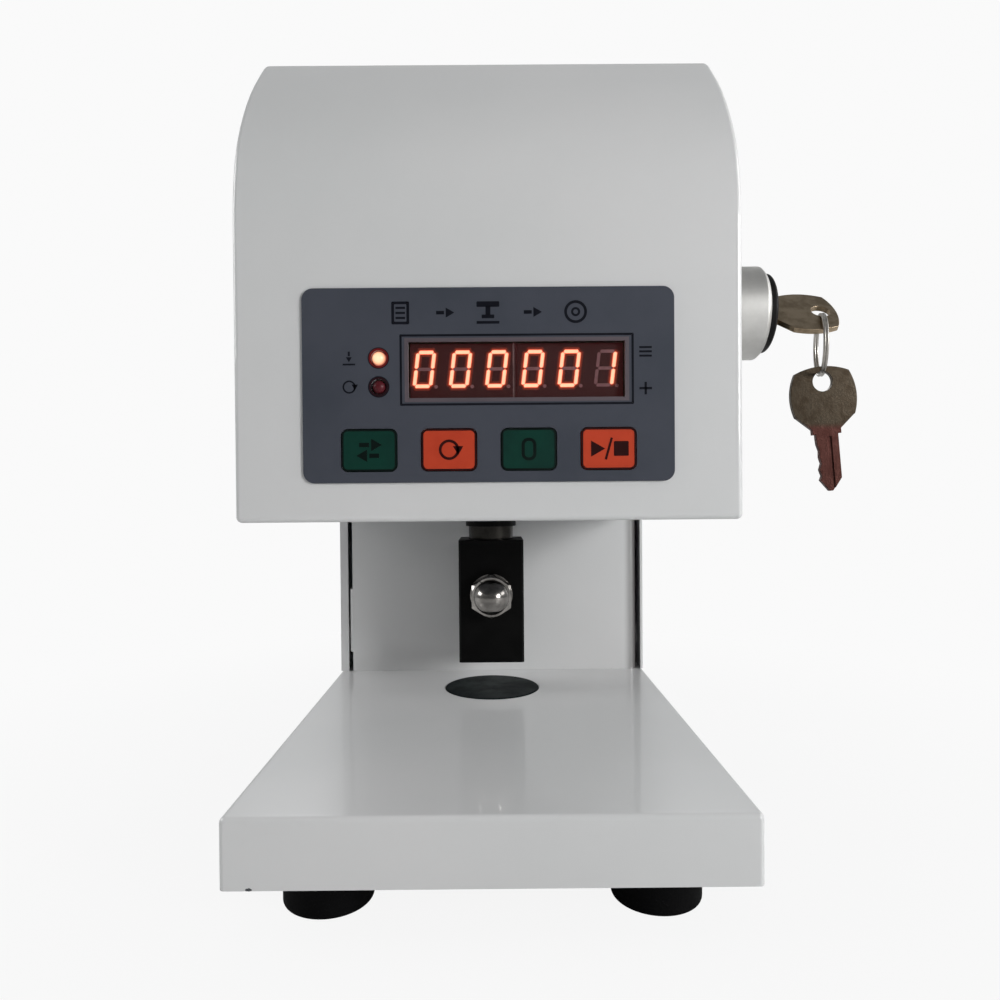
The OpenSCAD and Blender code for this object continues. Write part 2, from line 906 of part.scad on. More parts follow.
module rear_cover() {
    color("whitesmoke") difference() {
        profile_y(body_rear, body_rear + sheet_t) translate([0, (rear_low + rear_high) / 2]) {
            round_rect(2 * rear_half, rear_high - rear_low, rear_r);
        }
        profile_y(body_rear - over, body_rear + sheet_t + over) {
            translate([0, inlet_z]) square([inlet_w + 2 * cut_gap, inlet_h + 2 * cut_gap], center = true);
            for (i = [0:vent_count - 1]) translate([0, cam_z - vent_drop + i * vent_pitch]) {
                round_rect(vent_w, vent_h, 0.49 * vent_h);
            }
        }
        rear_holes();
    }
}

module power_inlet() {
    face = body_rear + sheet_t;
    back = face - inlet_depth;
    color("black") difference() {
        union() {
            profile_y(face, face + inlet_rim_t) translate([0, inlet_z]) {
                round_rect(inlet_w + 2 * inlet_rim, inlet_h + 2 * inlet_rim - 2 * inlet_wall, inlet_floor_t);
            }
            profile_y(back, face + over / 10) translate([0, inlet_z]) {
                square([inlet_w, inlet_h], center = true);
            }
        }
        profile_y(back + inlet_floor_t, face + inlet_rim_t + over) translate([0, inlet_z]) {
            round_rect(inlet_w - 2 * inlet_wall, inlet_h - 2 * inlet_wall, inlet_wall);
        }
    }
    color("silver") for (i = [-1:1]) {
        translate([i * prong_pitch, 0, inlet_z + (i == 0 ? prong_shift : -prong_shift)]) {
            block([-prong_w / 2, back + over, -prong_h / 2], [prong_w / 2, face - prong_back, prong_h / 2]);
        }
    }
}

module power_supply() {
    low = cam_z - supply_drop;
    rear = frame_rear - supply_rear_gap;
    wall_x = plate_out + supply_wall;
    coil_x = wall_x + supply_board_t;
    middle = (supply_front + rear) / 2;
    coil_z = low + (supply_h - coil_h) / 2;
    color("silver") difference() {
        block([plate_out, supply_front, low], [plate_out + supply_w, rear, low + supply_h]);
        block(
            [wall_x, supply_front + supply_wall, low + supply_wall],
            [plate_out + supply_w - supply_wall, rear - supply_wall, low + supply_h + over]
        );
    }
    color("darkgreen") block(
        [wall_x, supply_front + supply_wall + supply_board_gap, low + supply_wall + supply_board_gap],
        [coil_x, rear - supply_wall - supply_board_gap, low + supply_h - supply_board_gap]
    );
    color("gold") block(
        [coil_x, middle - coil_l / 2, coil_z],
        [coil_x + coil_w, middle + coil_l / 2, coil_z + coil_h]
    );
}

// Ram

module ram_shaft() {
    color("silver") difference() {
        union() {
            rod_z(shaft_d, block_top, ram_top);
            rod_z(spigot_d, block_top - spigot_l, block_top + over);
        }
        block([-cam_w / 2 - fit_gap, -shaft_d, slot_z], [cam_w / 2 + fit_gap, shaft_d, ram_top + over]);
        translate([0, 0, roller_z]) rod_x(pin_d + 2 * seat_gap, -shaft_d, shaft_d);
    }
}

module spring_collar() {
    color("dimgray") difference() {
        rod_z(collar_d, spring_top, spring_top + collar_t);
        rod_z(shaft_d + 2 * seat_gap, spring_top - over, spring_top + collar_t + over);
    }
}

// Coil spring: rings of the wire's section along a helix, joined into one closed tube
module return_spring() {
    sides = 6;
    rings = 12 * spring_turns;
    wire_r = spring_wire / 2;
    low = guide_top + wire_r + fit_gap;
    rise = spring_l - spring_wire - 2 * fit_gap;
    points = [for (i = [0:rings], k = [0:sides - 1]) let (
        a = 360 * spring_turns * i / rings,
        b = 360 * k / sides,
        r = spring_r + wire_r * cos(b)
    ) [r * cos(a), r * sin(a), low + rise * i / rings + wire_r * sin(b)]];
    tube = [for (i = [0:rings - 1], k = [0:sides - 1]) let (
        p = i * sides + k,
        q = i * sides + (k + 1) % sides
    ) each [[p, p + sides, q], [q, p + sides, q + sides]]];
    cap_low = [for (k = [1:sides - 2]) [0, k, k + 1]];
    cap_high = [for (k = [1:sides - 2]) let (p = rings * sides) [p, p + k + 1, p + k]];
    color("silver") polyhedron(points, concat(tube, cap_low, cap_high));
}

module roller_pin() {
    reach = sqrt(pow(shaft_d / 2, 2) - pow(pin_d / 2, 2)) - spring_play;
    color("silver") translate([0, 0, roller_z]) rod_x(pin_d, -reach, reach);
}

module follower_roller() {
    color("gray") translate([0, 0, roller_z]) difference() {
        rod_x(roller_d, -cam_w / 2, cam_w / 2);
        rod_x(pin_d + 2 * slide_gap, -cam_w, cam_w);
    }
}

module die_holder() {
    chamfer = 1;
    side = block_d / 2;
    half = block_w / 2;
    color([0.1, 0.1, 0.11]) difference() {
        translate([0, 0, block_z]) linear_extrude(block_h) polygon([
            [chamfer - half, -side], [half - chamfer, -side], [half, chamfer - side], [half, side - chamfer],
            [half - chamfer, side], [chamfer - half, side], [-half, side - chamfer], [-half, chamfer - side]
        ]);
        rod_z(socket_d, block_z - over, block_z + socket_depth);
        rod_z(spigot_d + 2 * seat_gap, block_top - spigot_l - over, block_top + over);
        translate([0, 0, clamp_z]) rod_y(stud_d + 2 * seat_gap, -side - over, 0);
    }
}

module clamp_stud() {
    front = over - block_d / 2 - washer_t - nut_t;
    color("silver") translate([0, 0, clamp_z]) rod_y(stud_d, front, -spigot_d / 2 - screw_gap);
}

module clamp_washer() {
    color("silver") translate([0, 0, clamp_z]) difference() {
        rod_y(nut_af + 2 * washer_rim, -block_d / 2 - washer_t, -block_d / 2);
        rod_y(stud_d + 2 * screw_gap, -block_d, 0);
    }
}

module acorn_nut() {
    dome_r = nut_af / 2 - dome_step;
    color("gainsboro") translate([0, -block_d / 2 - washer_t, clamp_z]) rotate([90, 0, 0]) difference() {
        union() {
            intersection() {
                rotate([0, 0, 30]) cylinder(d = nut_af / cos(30), h = nut_t, $fn = 6);
                cylinder(r1 = nut_af / 2 + cut_gap, r2 = nut_af / 2 + nut_bevel, h = nut_t);
                cylinder(r1 = nut_af / 2 + nut_t, r2 = nut_af / 2, h = nut_t);
            }
            rotate_extrude() {
                square([dome_r, nut_t]);
                translate([0, nut_t]) intersection() {
                    circle(dome_r);
                    square(dome_r);
                }
            }
        }
        translate([0, 0, -over]) cylinder(d = stud_d + 2 * seat_gap, h = nut_t + over);
    }
}

// Cam drive

module press_cam() {
    pitch = [for (i = [0:cam_steps - 1]) let (
        a = 360 * i / cam_steps - 180,
        r = cam_pitch_r + stroke * abs(a) / 180
    ) [r * sin(a), -r * cos(a)]];
    color("gray") at_cam() difference() {
        profile_x(-cam_w / 2, cam_w / 2) offset(r = -roller_d / 2 - fit_gap) polygon(pitch);
        rod_x(cam_shaft_d + 2 * seat_gap, -cam_w, cam_w);
    }
}

module cam_shaft() {
    color("silver") at_cam() rod_x(cam_shaft_d, -shaft_end, shaft_end);
}

// Involute function of the pressure angle at radius r on base radius rb, in degrees
function involute(rb, r) = let (a = acos(min(1, rb / r))) tan(a) * 180 / PI - a;

module gear_outline(teeth) {
    rp = gear_module * teeth / 2;
    rb = rp * cos(pressure_angle);
    tip = rp + addendum * gear_module;
    root = rp - dedendum * gear_module;
    start = max(rb, root);
    half = 90 / teeth - backlash / rp * 45 / PI + involute(rb, rp);
    flank = [
        for (i = [0:flank_steps]) let (r = start + (tip - start) * i / flank_steps)
            [r, half - involute(rb, r)]
    ];
    side = concat([[root, flank[0][1]]], flank);
    last = len(side) - 1;
    polygon([for (t = [0:teeth - 1]) let (c = 360 * t / teeth) each concat(
        [for (p = side) p[0] * [cos(c - p[1]), sin(c - p[1])]],
        [for (i = [last:-1:0]) side[i][0] * [cos(c + side[i][1]), sin(c + side[i][1])]]
    )]);
}

module cam_gear() {
    color("darkgray") at_cam() difference() {
        union() {
            profile_x(gear_x, gear_x + gear_w) gear_outline(gear_teeth);
            rod_x(gear_hub_d, gear_x + gear_w - over, gear_x + gear_w + gear_hub_l);
        }
        rod_x(cam_shaft_d + 2 * seat_gap, gear_x - over, gear_x + gear_w + gear_hub_l + over);
    }
}

module home_disc() {
    color("dimgray") at_cam() difference() {
        rod_x(disc_d, disc_x, disc_x + disc_t);
        rod_x(cam_shaft_d + 2 * seat_gap, disc_x - over, disc_x + disc_t + over);
        block(
            [disc_x - over, -notch_w / 2, disc_d / 2 - notch_depth],
            [disc_x + disc_t + over, notch_w / 2, disc_d]
        );
    }
}

module retaining_rings() {
    inner = plate_out + fit_gap;
    color("dimgray") at_cam() mirror_copy([1, 0, 0]) difference() {
        rod_x(cam_shaft_d + 2 * clip_rim, inner, inner + clip_t);
        rod_x(cam_shaft_d + 2 * seat_gap, inner - over, inner + clip_t + over);
    }
}

module shaft_bushes() {
    color("goldenrod") at_cam() mirror_copy([1, 0, 0]) difference() {
        union() {
            rod_x(bush_out_d, plate_in - over, plate_out);
            rod_x(bush_out_d + 2 * bush_flange_rim, plate_in - bush_flange_t, plate_in);
        }
        rod_x(cam_shaft_d + 2 * slide_gap, plate_in - bush_flange_t - over, plate_out + over);
    }
}

module home_sensor() {
    low = disc_d / 2 - notch_depth;
    side = sensor_half + over;
    slot_low = disc_x - sensor_gap;
    slot_high = disc_x + disc_t + sensor_gap;
    color([0.15, 0.15, 0.16]) at_cam() difference() {
        block([slot_low - sensor_wall, -sensor_half, low], [plate_in, sensor_half, disc_d / 2 + sensor_top]);
        block([slot_low, -side, low - over], [slot_high, side, disc_d / 2 + 2 * sensor_gap]);
        block([plate_in - sensor_foot, -side, low - over], [plate_in + over, side, disc_d / 2 + sensor_gap]);
    }
}

module drive_pinion() {
    color("darkgray") at_pinion() {
        profile_x(gear_x, gear_x + gear_w) rotate(180 / pinion_teeth) gear_outline(pinion_teeth);
        rod_x(pinion_shaft_d, -plate_out - pinion_shaft_in, gear_x + gear_w + pinion_shaft_out);
    }
}

module gearbox() {
    color([0.45, 0.46, 0.48]) difference() {
        union() {
            at_pinion() {
                profile_x(-plate_out - gearbox_w, -plate_out) translate([0, gearbox_h / 2 - gearbox_drop]) {
                    round_rect(gearbox_l, gearbox_h, gearbox_r);
                }
                rod_x(boss_d, -plate_out - over, -plate_in);
            }
        }
        at_pinion() {
            rod_x(pinion_shaft_d + 2 * slide_gap, -plate_out - pinion_shaft_in - over, -plate_in + over);
        }
    }
}

module motor() {
    front = pinion_y - gearbox_l / 2;
    color("silver") translate([motor_x, front, motor_z]) rotate([90, 0, 0]) rotate_extrude() polygon([
        [0, 0], [motor_d / 2, 0], [motor_d / 2, motor_l - motor_bevel], [motor_d / 2 - motor_bevel, motor_l],
        [motor_nose_r, motor_l], [motor_nose_r, motor_l + motor_nose_l], [0, motor_l + motor_nose_l]
    ]);
}

// Control panel

module control_overlay() {
    color([0.36, 0.41, 0.46]) profile_y(-head_front - overlay_t, -head_front) difference() {
        translate([0, board_z]) round_rect(panel_w, panel_h, panel_r);
        panel_openings(fit_gap);
    }
}

module display_window() {
    color([0.35, 0.1, 0.08, 0.6]) profile_y(window_proud - head_front - overlay_t, inner_front - board_gap) {
        translate([window_shift, window_z]) square([window_w, window_h], center = true);
    }
}

module display_modules() {
    color([0.2, 0.2, 0.2]) for (s = [-1, 1]) {
        profile_y(board_y - module_t, board_y) {
            translate([window_shift + s * (module_w / 2 + module_gap), window_z]) {
                square([module_w, module_h], center = true);
            }
        }
    }
}

module led(z) {
    dome = led_d / 2;
    tip = head_front + overlay_t + lamp_proud;
    translate([-led_shift, board_y, z]) rotate([90, 0, 0]) {
        rotate_extrude() {
            square([dome, tip + board_y - dome]);
            square([dome + lamp_rim, over]);
            translate([0, tip + board_y - dome]) intersection() {
                circle(dome);
                square(dome);
            }
        }
    }
}

module manual_led() {
    color("orangered") led(led_places[0]);
}

module auto_led() {
    color("darkred") led(led_places[1]);
}

module press_key(place) {
    face = -head_front - overlay_t - key_proud;
    rear = board_y - tact_t - tact_push_l - key_travel - fit_gap;
    translate([place * key_pitch, 0, key_z]) {
        profile_y(face, face + key_cap_t) round_rect(key_cap_w, key_cap_h, key_cap_r);
        rod_y(pin_d, face + key_cap_t - over, rear);
    }
}

module mode_key() {
    color([0.08, 0.35, 0.27]) press_key(-1.5);
}

module reset_key() {
    color([0.9, 0.3, 0.14]) press_key(-0.5);
}

module clear_key() {
    color([0.08, 0.35, 0.27]) press_key(0.5);
}

module start_key() {
    color([0.9, 0.3, 0.14]) press_key(1.5);
}

module control_board() {
    color("darkgreen") difference() {
        profile_y(board_y, board_y + board_t) translate([0, board_z]) {
            square([board_w, board_h], center = true);
        }
        at_board_corners() rod_y(m3[0] + 2 * screw_gap, board_y - over, board_y + board_t + over);
    }
}

// Stand-offs, screws and key contacts of the control board
module board_parts() {
    color("silver") at_board_corners() {
        difference() {
            rod_y(stand_d, inner_front, board_y);
            rod_y(m3[0] + 2 * screw_gap, inner_front + 2 * over, board_y + over);
        }
        translate([0, board_y + board_t, 0]) rotate([90, 0, 0]) screw(m3, board_screw_l);
    }
    color("black") for (i = [-1.5:1:1.5]) translate([i * key_pitch, board_y, key_z]) {
        block([-tact_w / 2, -tact_t, -tact_w / 2], [tact_w / 2, 0, tact_w / 2]);
        rod_y(tact_push_d, -tact_t - tact_push_l, -tact_t + over);
    }
}

// Key switch

module lock_bezel() {
    chamfer = 1.5;
    color("silver") at_lock() difference() {
        rotate([0, 90, 0]) rotate_extrude() polygon([
            [0, half_w], [bezel_d / 2, half_w], [bezel_d / 2, bezel_end - chamfer],
            [bezel_d / 2 - chamfer, bezel_end], [0, bezel_end]
        ]);
        rod_x(barrel_d + 2 * fit_gap, half_w - over, bezel_end);
        rod_x(insert_d + 2 * seat_gap, half_w + bezel_web, bezel_end + over);
    }
}

module lock_face() {
    chamfer = 0.8;
    color([0.08, 0.08, 0.08]) at_lock() difference() {
        rotate([0, 90, 0]) rotate_extrude() polygon([
            [0, half_w + bezel_web], [insert_d / 2, half_w + bezel_web], [insert_d / 2, insert_end - chamfer],
            [insert_d / 2 - chamfer, insert_end], [0, insert_end]
        ]);
        rod_x(plug_d + 2 * slide_gap, half_w, insert_end + over);
    }
}

// Threaded barrel with its nut behind the head's wall
module lock_body() {
    color("gray") at_lock() difference() {
        union() {
            rod_x(barrel_d, barrel_x, half_w + bezel_web);
            translate([inner_w - lock_nut_t, 0, 0]) rotate([0, 90, 0]) {
                cylinder(d = barrel_d + 2 * lock_nut_rim, h = lock_nut_t, $fn = 6);
            }
        }
        rod_x(plug_d + 2 * slide_gap, plug_x - fit_gap, bezel_end);
    }
}

module contact_block() {
    color([0.6, 0.15, 0.12]) at_lock() {
        end = barrel_x - contact_l;
        block([end, -contact_w / 2, -contact_h / 2], [barrel_x, contact_w / 2, contact_h / 2]);
        for (i = [-1:1]) translate([end, i * tag_pitch, 0]) {
            block([-tag_l, -tag_t / 2, -tag_w / 2], [over, tag_t / 2, tag_w / 2]);
        }
    }
}

module lock_plug() {
    side = blade_w / 2 + fit_gap;
    flat = key_t / 2 + fit_gap;
    color("darkgray") at_lock() difference() {
        rod_x(plug_d, plug_x, insert_end + plug_proud);
        rotate([key_roll, 0, 0]) block([key_tip_x - over, -side, -flat], [insert_end + over, side, flat]);
    }
}

// Key drawn along +X with its tip at 0, in the XY plane
module key_shape() {
    side = blade_w / 2;
    neck = neck_w / 2;
    bow = bow_w / 2;
    neck_end = blade_l + neck_l;
    bulge_x = bow_low + 0.38 * bow_l;
    bulge_r = 0.83 * bow_w;
    steps = len(cut_depths) - 1;
    cut_start = blade_tip_l - cut_pitch / 2;
    cut_end = cut_start + steps * cut_pitch;
    difference() {
        union() {
            polygon([
                [0, -blade_tip_w / 2], [blade_tip_l, -side], [blade_l, -side], [blade_l, -neck],
                [neck_end, -neck], [bow_low, bow_corner - bow], [bow_low + over, bow_corner - bow],
                [bow_low + over, bow - bow_corner], [bow_low, bow - bow_corner], [neck_end, neck],
                [blade_l, neck], [blade_l, side], [blade_tip_l, side], [0, blade_tip_w / 2]
            ]);
            intersection() {
                translate([bow_low, -bow]) square([bow_l, bow_w]);
                translate([key_l - bow_w, 0]) circle(bow_w);
                translate([bulge_x, bulge_r - bow]) circle(bulge_r);
                translate([bulge_x, bow - bulge_r]) circle(bulge_r);
            }
        }
        polygon(concat(
            [for (i = [0:steps]) [cut_start + i * cut_pitch, side - cut_depths[i]]],
            [[cut_end, side + over], [cut_start, side + over]]
        ));
        translate([key_l - key_hole_in, 0]) circle(d = key_hole_d);
    }
}

module key_body() {
    low = -groove_shift - groove_w / 2;
    floor = key_t / 2 - groove_t;
    difference() {
        translate([0, 0, -key_t / 2]) linear_extrude(key_t) key_shape();
        mirror_copy([0, 0, 1]) block([-over, low, floor], [blade_l - over, low + groove_w, key_t]);
    }
}

module switch_key() {
    color([0.5, 0.46, 0.4]) at_lock() translate([key_tip_x, 0, 0]) rotate([key_roll, 0, 0]) key_body();
}

module key_ring() {
    color("silver") translate([ring_x, lock_y, ring_z]) rotate([0, 90, -ring_turn]) rotate_extrude() {
        for (s = [-1, 1]) translate([ring_r, s * strand_pitch / 2]) circle(d = ring_wire, $fn = 24);
    }
}

module spare_key() {
    color([0.3, 0.25, 0.2]) translate([ring_x, lock_y, wire_z]) rotate([0, -spare_lean, 0]) {
        translate([0, 0, key_hole_in - key_l - spare_hang]) rotate([90, -90, 0]) key_body();
    }
}

base_cover();
base_plate();
rubber_feet();
foot_screws();
frame_screws();
anvil_block();
anvil_pad();
left_frame_plate();
right_frame_plate();
tie_rods();
ram_guide_block();
guide_screws();
guide_bush();
head_floor();
head_cover();
cover_screws();
column_front_panel();
column_left_side();
column_right_side();
rear_cover();
power_inlet();
power_supply();
ram_shaft();
spring_collar();
return_spring();
roller_pin();
follower_roller();
die_holder();
clamp_stud();
clamp_washer();
acorn_nut();
press_cam();
cam_shaft();
cam_gear();
home_disc();
retaining_rings();
shaft_bushes();
home_sensor();
drive_pinion();
gearbox();
motor();
control_overlay();
display_window();
display_modules();
manual_led();
auto_led();
mode_key();
reset_key();
clear_key();
start_key();
control_board();
board_parts();
lock_bezel();
lock_face();
lock_body();
contact_block();
lock_plug();
switch_key();
key_ring();
spare_key();
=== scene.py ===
import json
import math
import bpy
from mathutils import Matrix, Vector


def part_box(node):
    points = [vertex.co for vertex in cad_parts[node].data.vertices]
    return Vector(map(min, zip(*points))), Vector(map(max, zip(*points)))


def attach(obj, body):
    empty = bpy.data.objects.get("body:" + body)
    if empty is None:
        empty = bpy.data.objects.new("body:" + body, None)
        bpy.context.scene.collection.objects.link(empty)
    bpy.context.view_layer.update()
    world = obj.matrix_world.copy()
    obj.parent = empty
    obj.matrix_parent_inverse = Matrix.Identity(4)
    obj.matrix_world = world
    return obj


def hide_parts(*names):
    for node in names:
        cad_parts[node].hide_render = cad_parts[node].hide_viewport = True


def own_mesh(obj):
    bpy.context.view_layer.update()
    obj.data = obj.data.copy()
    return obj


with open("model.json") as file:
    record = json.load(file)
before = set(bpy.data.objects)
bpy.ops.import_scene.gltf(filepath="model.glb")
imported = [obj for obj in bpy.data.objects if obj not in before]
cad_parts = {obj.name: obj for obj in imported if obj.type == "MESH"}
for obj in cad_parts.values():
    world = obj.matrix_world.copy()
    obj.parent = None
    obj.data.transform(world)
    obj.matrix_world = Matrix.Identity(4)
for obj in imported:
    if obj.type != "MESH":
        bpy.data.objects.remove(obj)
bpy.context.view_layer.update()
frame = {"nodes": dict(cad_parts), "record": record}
nodes = frame["nodes"]
body_of_node = {node: body for body, members in frame["record"]["behaviour"]["bodies"].items() for node in members}
# Lengths in metres, angles in radians: points closer than MERGE become one, edges under FLAT go, and edges over the
# two SHARP angles aren't smoothed
MM = 0.001
MERGE = 0.000004
FLAT = math.radians(0.3)
SHARP_SKIN = math.radians(32)
SHARP_PRINT = math.radians(35)
RIGHT = math.radians(90)


# Hand tools

def put_tools_down():
    """Leaves edit mode and lets go of everything."""
    if bpy.context.object and bpy.context.object.mode != "OBJECT":
        bpy.ops.object.mode_set(mode="OBJECT")
    bpy.ops.object.select_all(action="DESELECT")


def pick_up(piece):
    """Makes one piece the only selected one."""
    put_tools_down()
    piece.select_set(True)
    bpy.context.view_layer.objects.active = piece


def open_for_editing(piece):
    """Takes a piece into edit mode with all of it selected."""
    pick_up(piece)
    bpy.ops.object.mode_set(mode="EDIT")
    bpy.ops.mesh.select_all(action="SELECT")


def mark_points(piece, wanted):
    """In edit mode, selects only the points that pass the test."""
    bpy.ops.mesh.select_all(action="DESELECT")
    bpy.ops.object.mode_set(mode="OBJECT")
    for point in piece.data.vertices:
        point.select = wanted(point.co)
    bpy.ops.object.mode_set(mode="EDIT")


def mark_numbers(piece, numbers):
    """In edit mode, selects only the points of the given numbers."""
    bpy.ops.mesh.select_all(action="DESELECT")
    bpy.ops.object.mode_set(mode="OBJECT")
    for number in numbers:
        piece.data.vertices[number].select = True
    bpy.ops.object.mode_set(mode="EDIT")


def close_up(piece):
    """Ends the editing of a closed piece: normals outwards, place in the mesh, smooth but for its sharp edges."""
    bpy.ops.mesh.select_all(action="SELECT")
    bpy.ops.mesh.normals_make_consistent(inside=False)
    bpy.ops.object.mode_set(mode="OBJECT")
    bpy.ops.object.transform_apply(location=True, rotation=True, scale=True)
    bpy.ops.object.shade_smooth_by_angle(angle=SHARP_PRINT)
    return piece


def weld(name, pieces):
    """Joins pieces into one object with one mesh."""
    put_tools_down()
    for piece in pieces:
        piece.select_set(True)
    bpy.context.view_layer.objects.active = pieces[0]
    if len(pieces) > 1:
        bpy.ops.object.join()
    joined = bpy.context.object
    joined.name = name
    joined.data.name = name
    return joined


def fit(piece, finish, body):
    """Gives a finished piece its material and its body."""
    piece.data.materials.clear()
    piece.data.materials.append(finish)
    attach(piece, body)
    return piece


def middle(node):
    """The middle of a CAD node, seen from the front."""
    low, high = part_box(node)
    return (low.x + high.x) / 2, (low.z + high.z) / 2


def copy_of(piece, move=Matrix.Identity(4)):
    """Another of the same piece with a mesh of its own."""
    twin = piece.copy()
    twin.data = piece.data.copy()
    twin.data.transform(move)
    bpy.context.scene.collection.objects.link(twin)
    return twin


# Finishes

def tone(red, green, blue):
    """An 8-bit screen colour as a linear one."""
    def linear(value):
        part = value / 255
        return part / 12.92 if part <= 0.04045 else ((part + 0.055) / 1.055) ** 2.4
    return (linear(red), linear(green), linear(blue), 1)


def start_effect(name):
    """A node group with the sockets that every surface effect here shares."""
    group = bpy.data.node_groups.new(name, "ShaderNodeTree")
    for socket, kind in (("Tone", "Color"), ("Second tone", "Color"), ("Grain", "Float"), ("Patch", "Float"),
                         ("Smooth", "Float"), ("Rough", "Float"), ("Stretch", "Vector")):
        group.interface.new_socket(socket, in_out="INPUT", socket_type="NodeSocket" + kind)
    for socket, kind in (("Colour", "Color"), ("Roughness", "Float"), ("Height", "Float")):
        group.interface.new_socket(socket, in_out="OUTPUT", socket_type="NodeSocket" + kind)
    give = group.nodes.new("NodeGroupInput")
    take = group.nodes.new("NodeGroupOutput")
    return group, give, take


def noise(group, where, scale, detail, roughness):
    """A noise pattern on the given coordinates; a socket gives its scale."""
    pattern = group.nodes.new("ShaderNodeTexNoise")
    group.links.new(where, pattern.inputs["Vector"])
    group.links.new(scale, pattern.inputs["Scale"])
    pattern.inputs["Detail"].default_value = detail
    pattern.inputs["Roughness"].default_value = roughness
    return pattern.outputs["Fac"]


def spread(group, value, low, high, to_low=0.0, to_high=1.0):
    """Stretches a value from one range to another; the new ends are numbers or sockets."""
    ranged = group.nodes.new("ShaderNodeMapRange")
    ranged.interpolation_type = "SMOOTHSTEP"
    group.links.new(value, ranged.inputs["Value"])
    ranged.inputs["From Min"].default_value = low
    ranged.inputs["From Max"].default_value = high
    for socket, end in (("To Min", to_low), ("To Max", to_high)):
        if isinstance(end, (int, float)):
            ranged.inputs[socket].default_value = end
        else:
            group.links.new(end, ranged.inputs[socket])
    return ranged.outputs["Result"]


def blend_tones(group, amount, first, second):
    """Mixes two tones by an amount."""
    mix = group.nodes.new("ShaderNodeMix")
    mix.data_type = "RGBA"
    group.links.new(amount, mix.inputs["Factor"])
    group.links.new(first, mix.inputs["A"])
    group.links.new(second, mix.inputs["B"])
    return mix.outputs["Result"]


ROUGH_RANGE = (0.3, 0.7)


def patchy(group, give, take, patches, low, high):
    """Lets a pattern of patches run between the two tones and between smooth and rough."""
    group.links.new(blend_tones(group, spread(group, patches, low, high), give.outputs["Tone"],
                                give.outputs["Second tone"]), take.inputs["Colour"])
    group.links.new(spread(group, patches, *ROUGH_RANGE, give.outputs["Smooth"], give.outputs["Rough"]),
                    take.inputs["Roughness"])


def sprayed_paint():
    """Stoved gloss paint: cloudy film thickness and a fine orange peel."""
    group, give, take = start_effect("sprayed_paint")
    where = group.nodes.new("ShaderNodeTexCoord").outputs["Object"]
    clouds = noise(group, where, give.outputs["Patch"], detail=4, roughness=0.5)
    patchy(group, give, take, clouds, low=0.35, high=0.65)
    group.links.new(noise(group, where, give.outputs["Grain"], detail=2, roughness=0.5), take.inputs["Height"])
    return group


def machined_metal():
    """Tool marks drawn out along one direction, with handled, duller patches."""
    group, give, take = start_effect("machined_metal")
    where = group.nodes.new("ShaderNodeTexCoord").outputs["Object"]
    drawn = group.nodes.new("ShaderNodeVectorMath")
    drawn.operation = "MULTIPLY"
    group.links.new(where, drawn.inputs[0])
    group.links.new(give.outputs["Stretch"], drawn.inputs[1])
    marks = noise(group, drawn.outputs["Vector"], give.outputs["Grain"], detail=6, roughness=0.65)
    patches = noise(group, where, give.outputs["Patch"], detail=5, roughness=0.6)
    patchy(group, give, take, patches, low=0.38, high=0.66)
    group.links.new(marks, take.inputs["Height"])
    return group


def moulded_grain():
    """The spark-eroded grain of moulded plastic and rubber, with a slightly uneven tone."""
    group, give, take = start_effect("moulded_grain")
    where = group.nodes.new("ShaderNodeTexCoord").outputs["Object"]
    cells = group.nodes.new("ShaderNodeTexVoronoi")
    group.links.new(where, cells.inputs["Vector"])
    group.links.new(give.outputs["Grain"], cells.inputs["Scale"])
    patches = noise(group, where, give.outputs["Patch"], detail=5, roughness=0.6)
    patchy(group, give, take, patches, low=0.35, high=0.65)
    group.links.new(cells.outputs["Distance"], take.inputs["Height"])
    return group


PAINT = sprayed_paint()
METAL = machined_metal()
GRAIN = moulded_grain()


def make_finish(name, effect, first, second, grain, patch, smooth, rough, bump, stretch=(1, 1, 1), **constants):
    """A material: one effect group feeding a Principled shader, and constants set on the shader's own sockets."""
    finish = bpy.data.materials.new(name)
    finish.use_nodes = True
    tree = finish.node_tree
    shader = tree.nodes["Principled BSDF"]
    surface = tree.nodes.new("ShaderNodeGroup")
    surface.node_tree = effect
    for socket, value in (("Tone", first), ("Second tone", second), ("Grain", grain), ("Patch", patch),
                          ("Smooth", smooth), ("Rough", rough), ("Stretch", stretch)):
        surface.inputs[socket].default_value = value
    ridges = tree.nodes.new("ShaderNodeBump")
    ridges.inputs["Strength"].default_value = bump[0]
    ridges.inputs["Distance"].default_value = bump[1]
    tree.links.new(surface.outputs["Colour"], shader.inputs["Base Color"])
    tree.links.new(surface.outputs["Roughness"], shader.inputs["Roughness"])
    tree.links.new(surface.outputs["Height"], ridges.inputs["Height"])
    tree.links.new(ridges.outputs["Normal"], shader.inputs["Normal"])
    for socket, value in constants.items():
        shader.inputs[socket.replace("_", " ")].default_value = value
    return finish


def gloss_white(name):
    """The paint of all the sheets."""
    return make_finish(name, PAINT, tone(218, 218, 218), tone(213, 214, 214), 420, 7, 0.29, 0.36, (0.02, 0.0003),
                       Coat_Weight=0.5, Coat_Roughness=0.05)


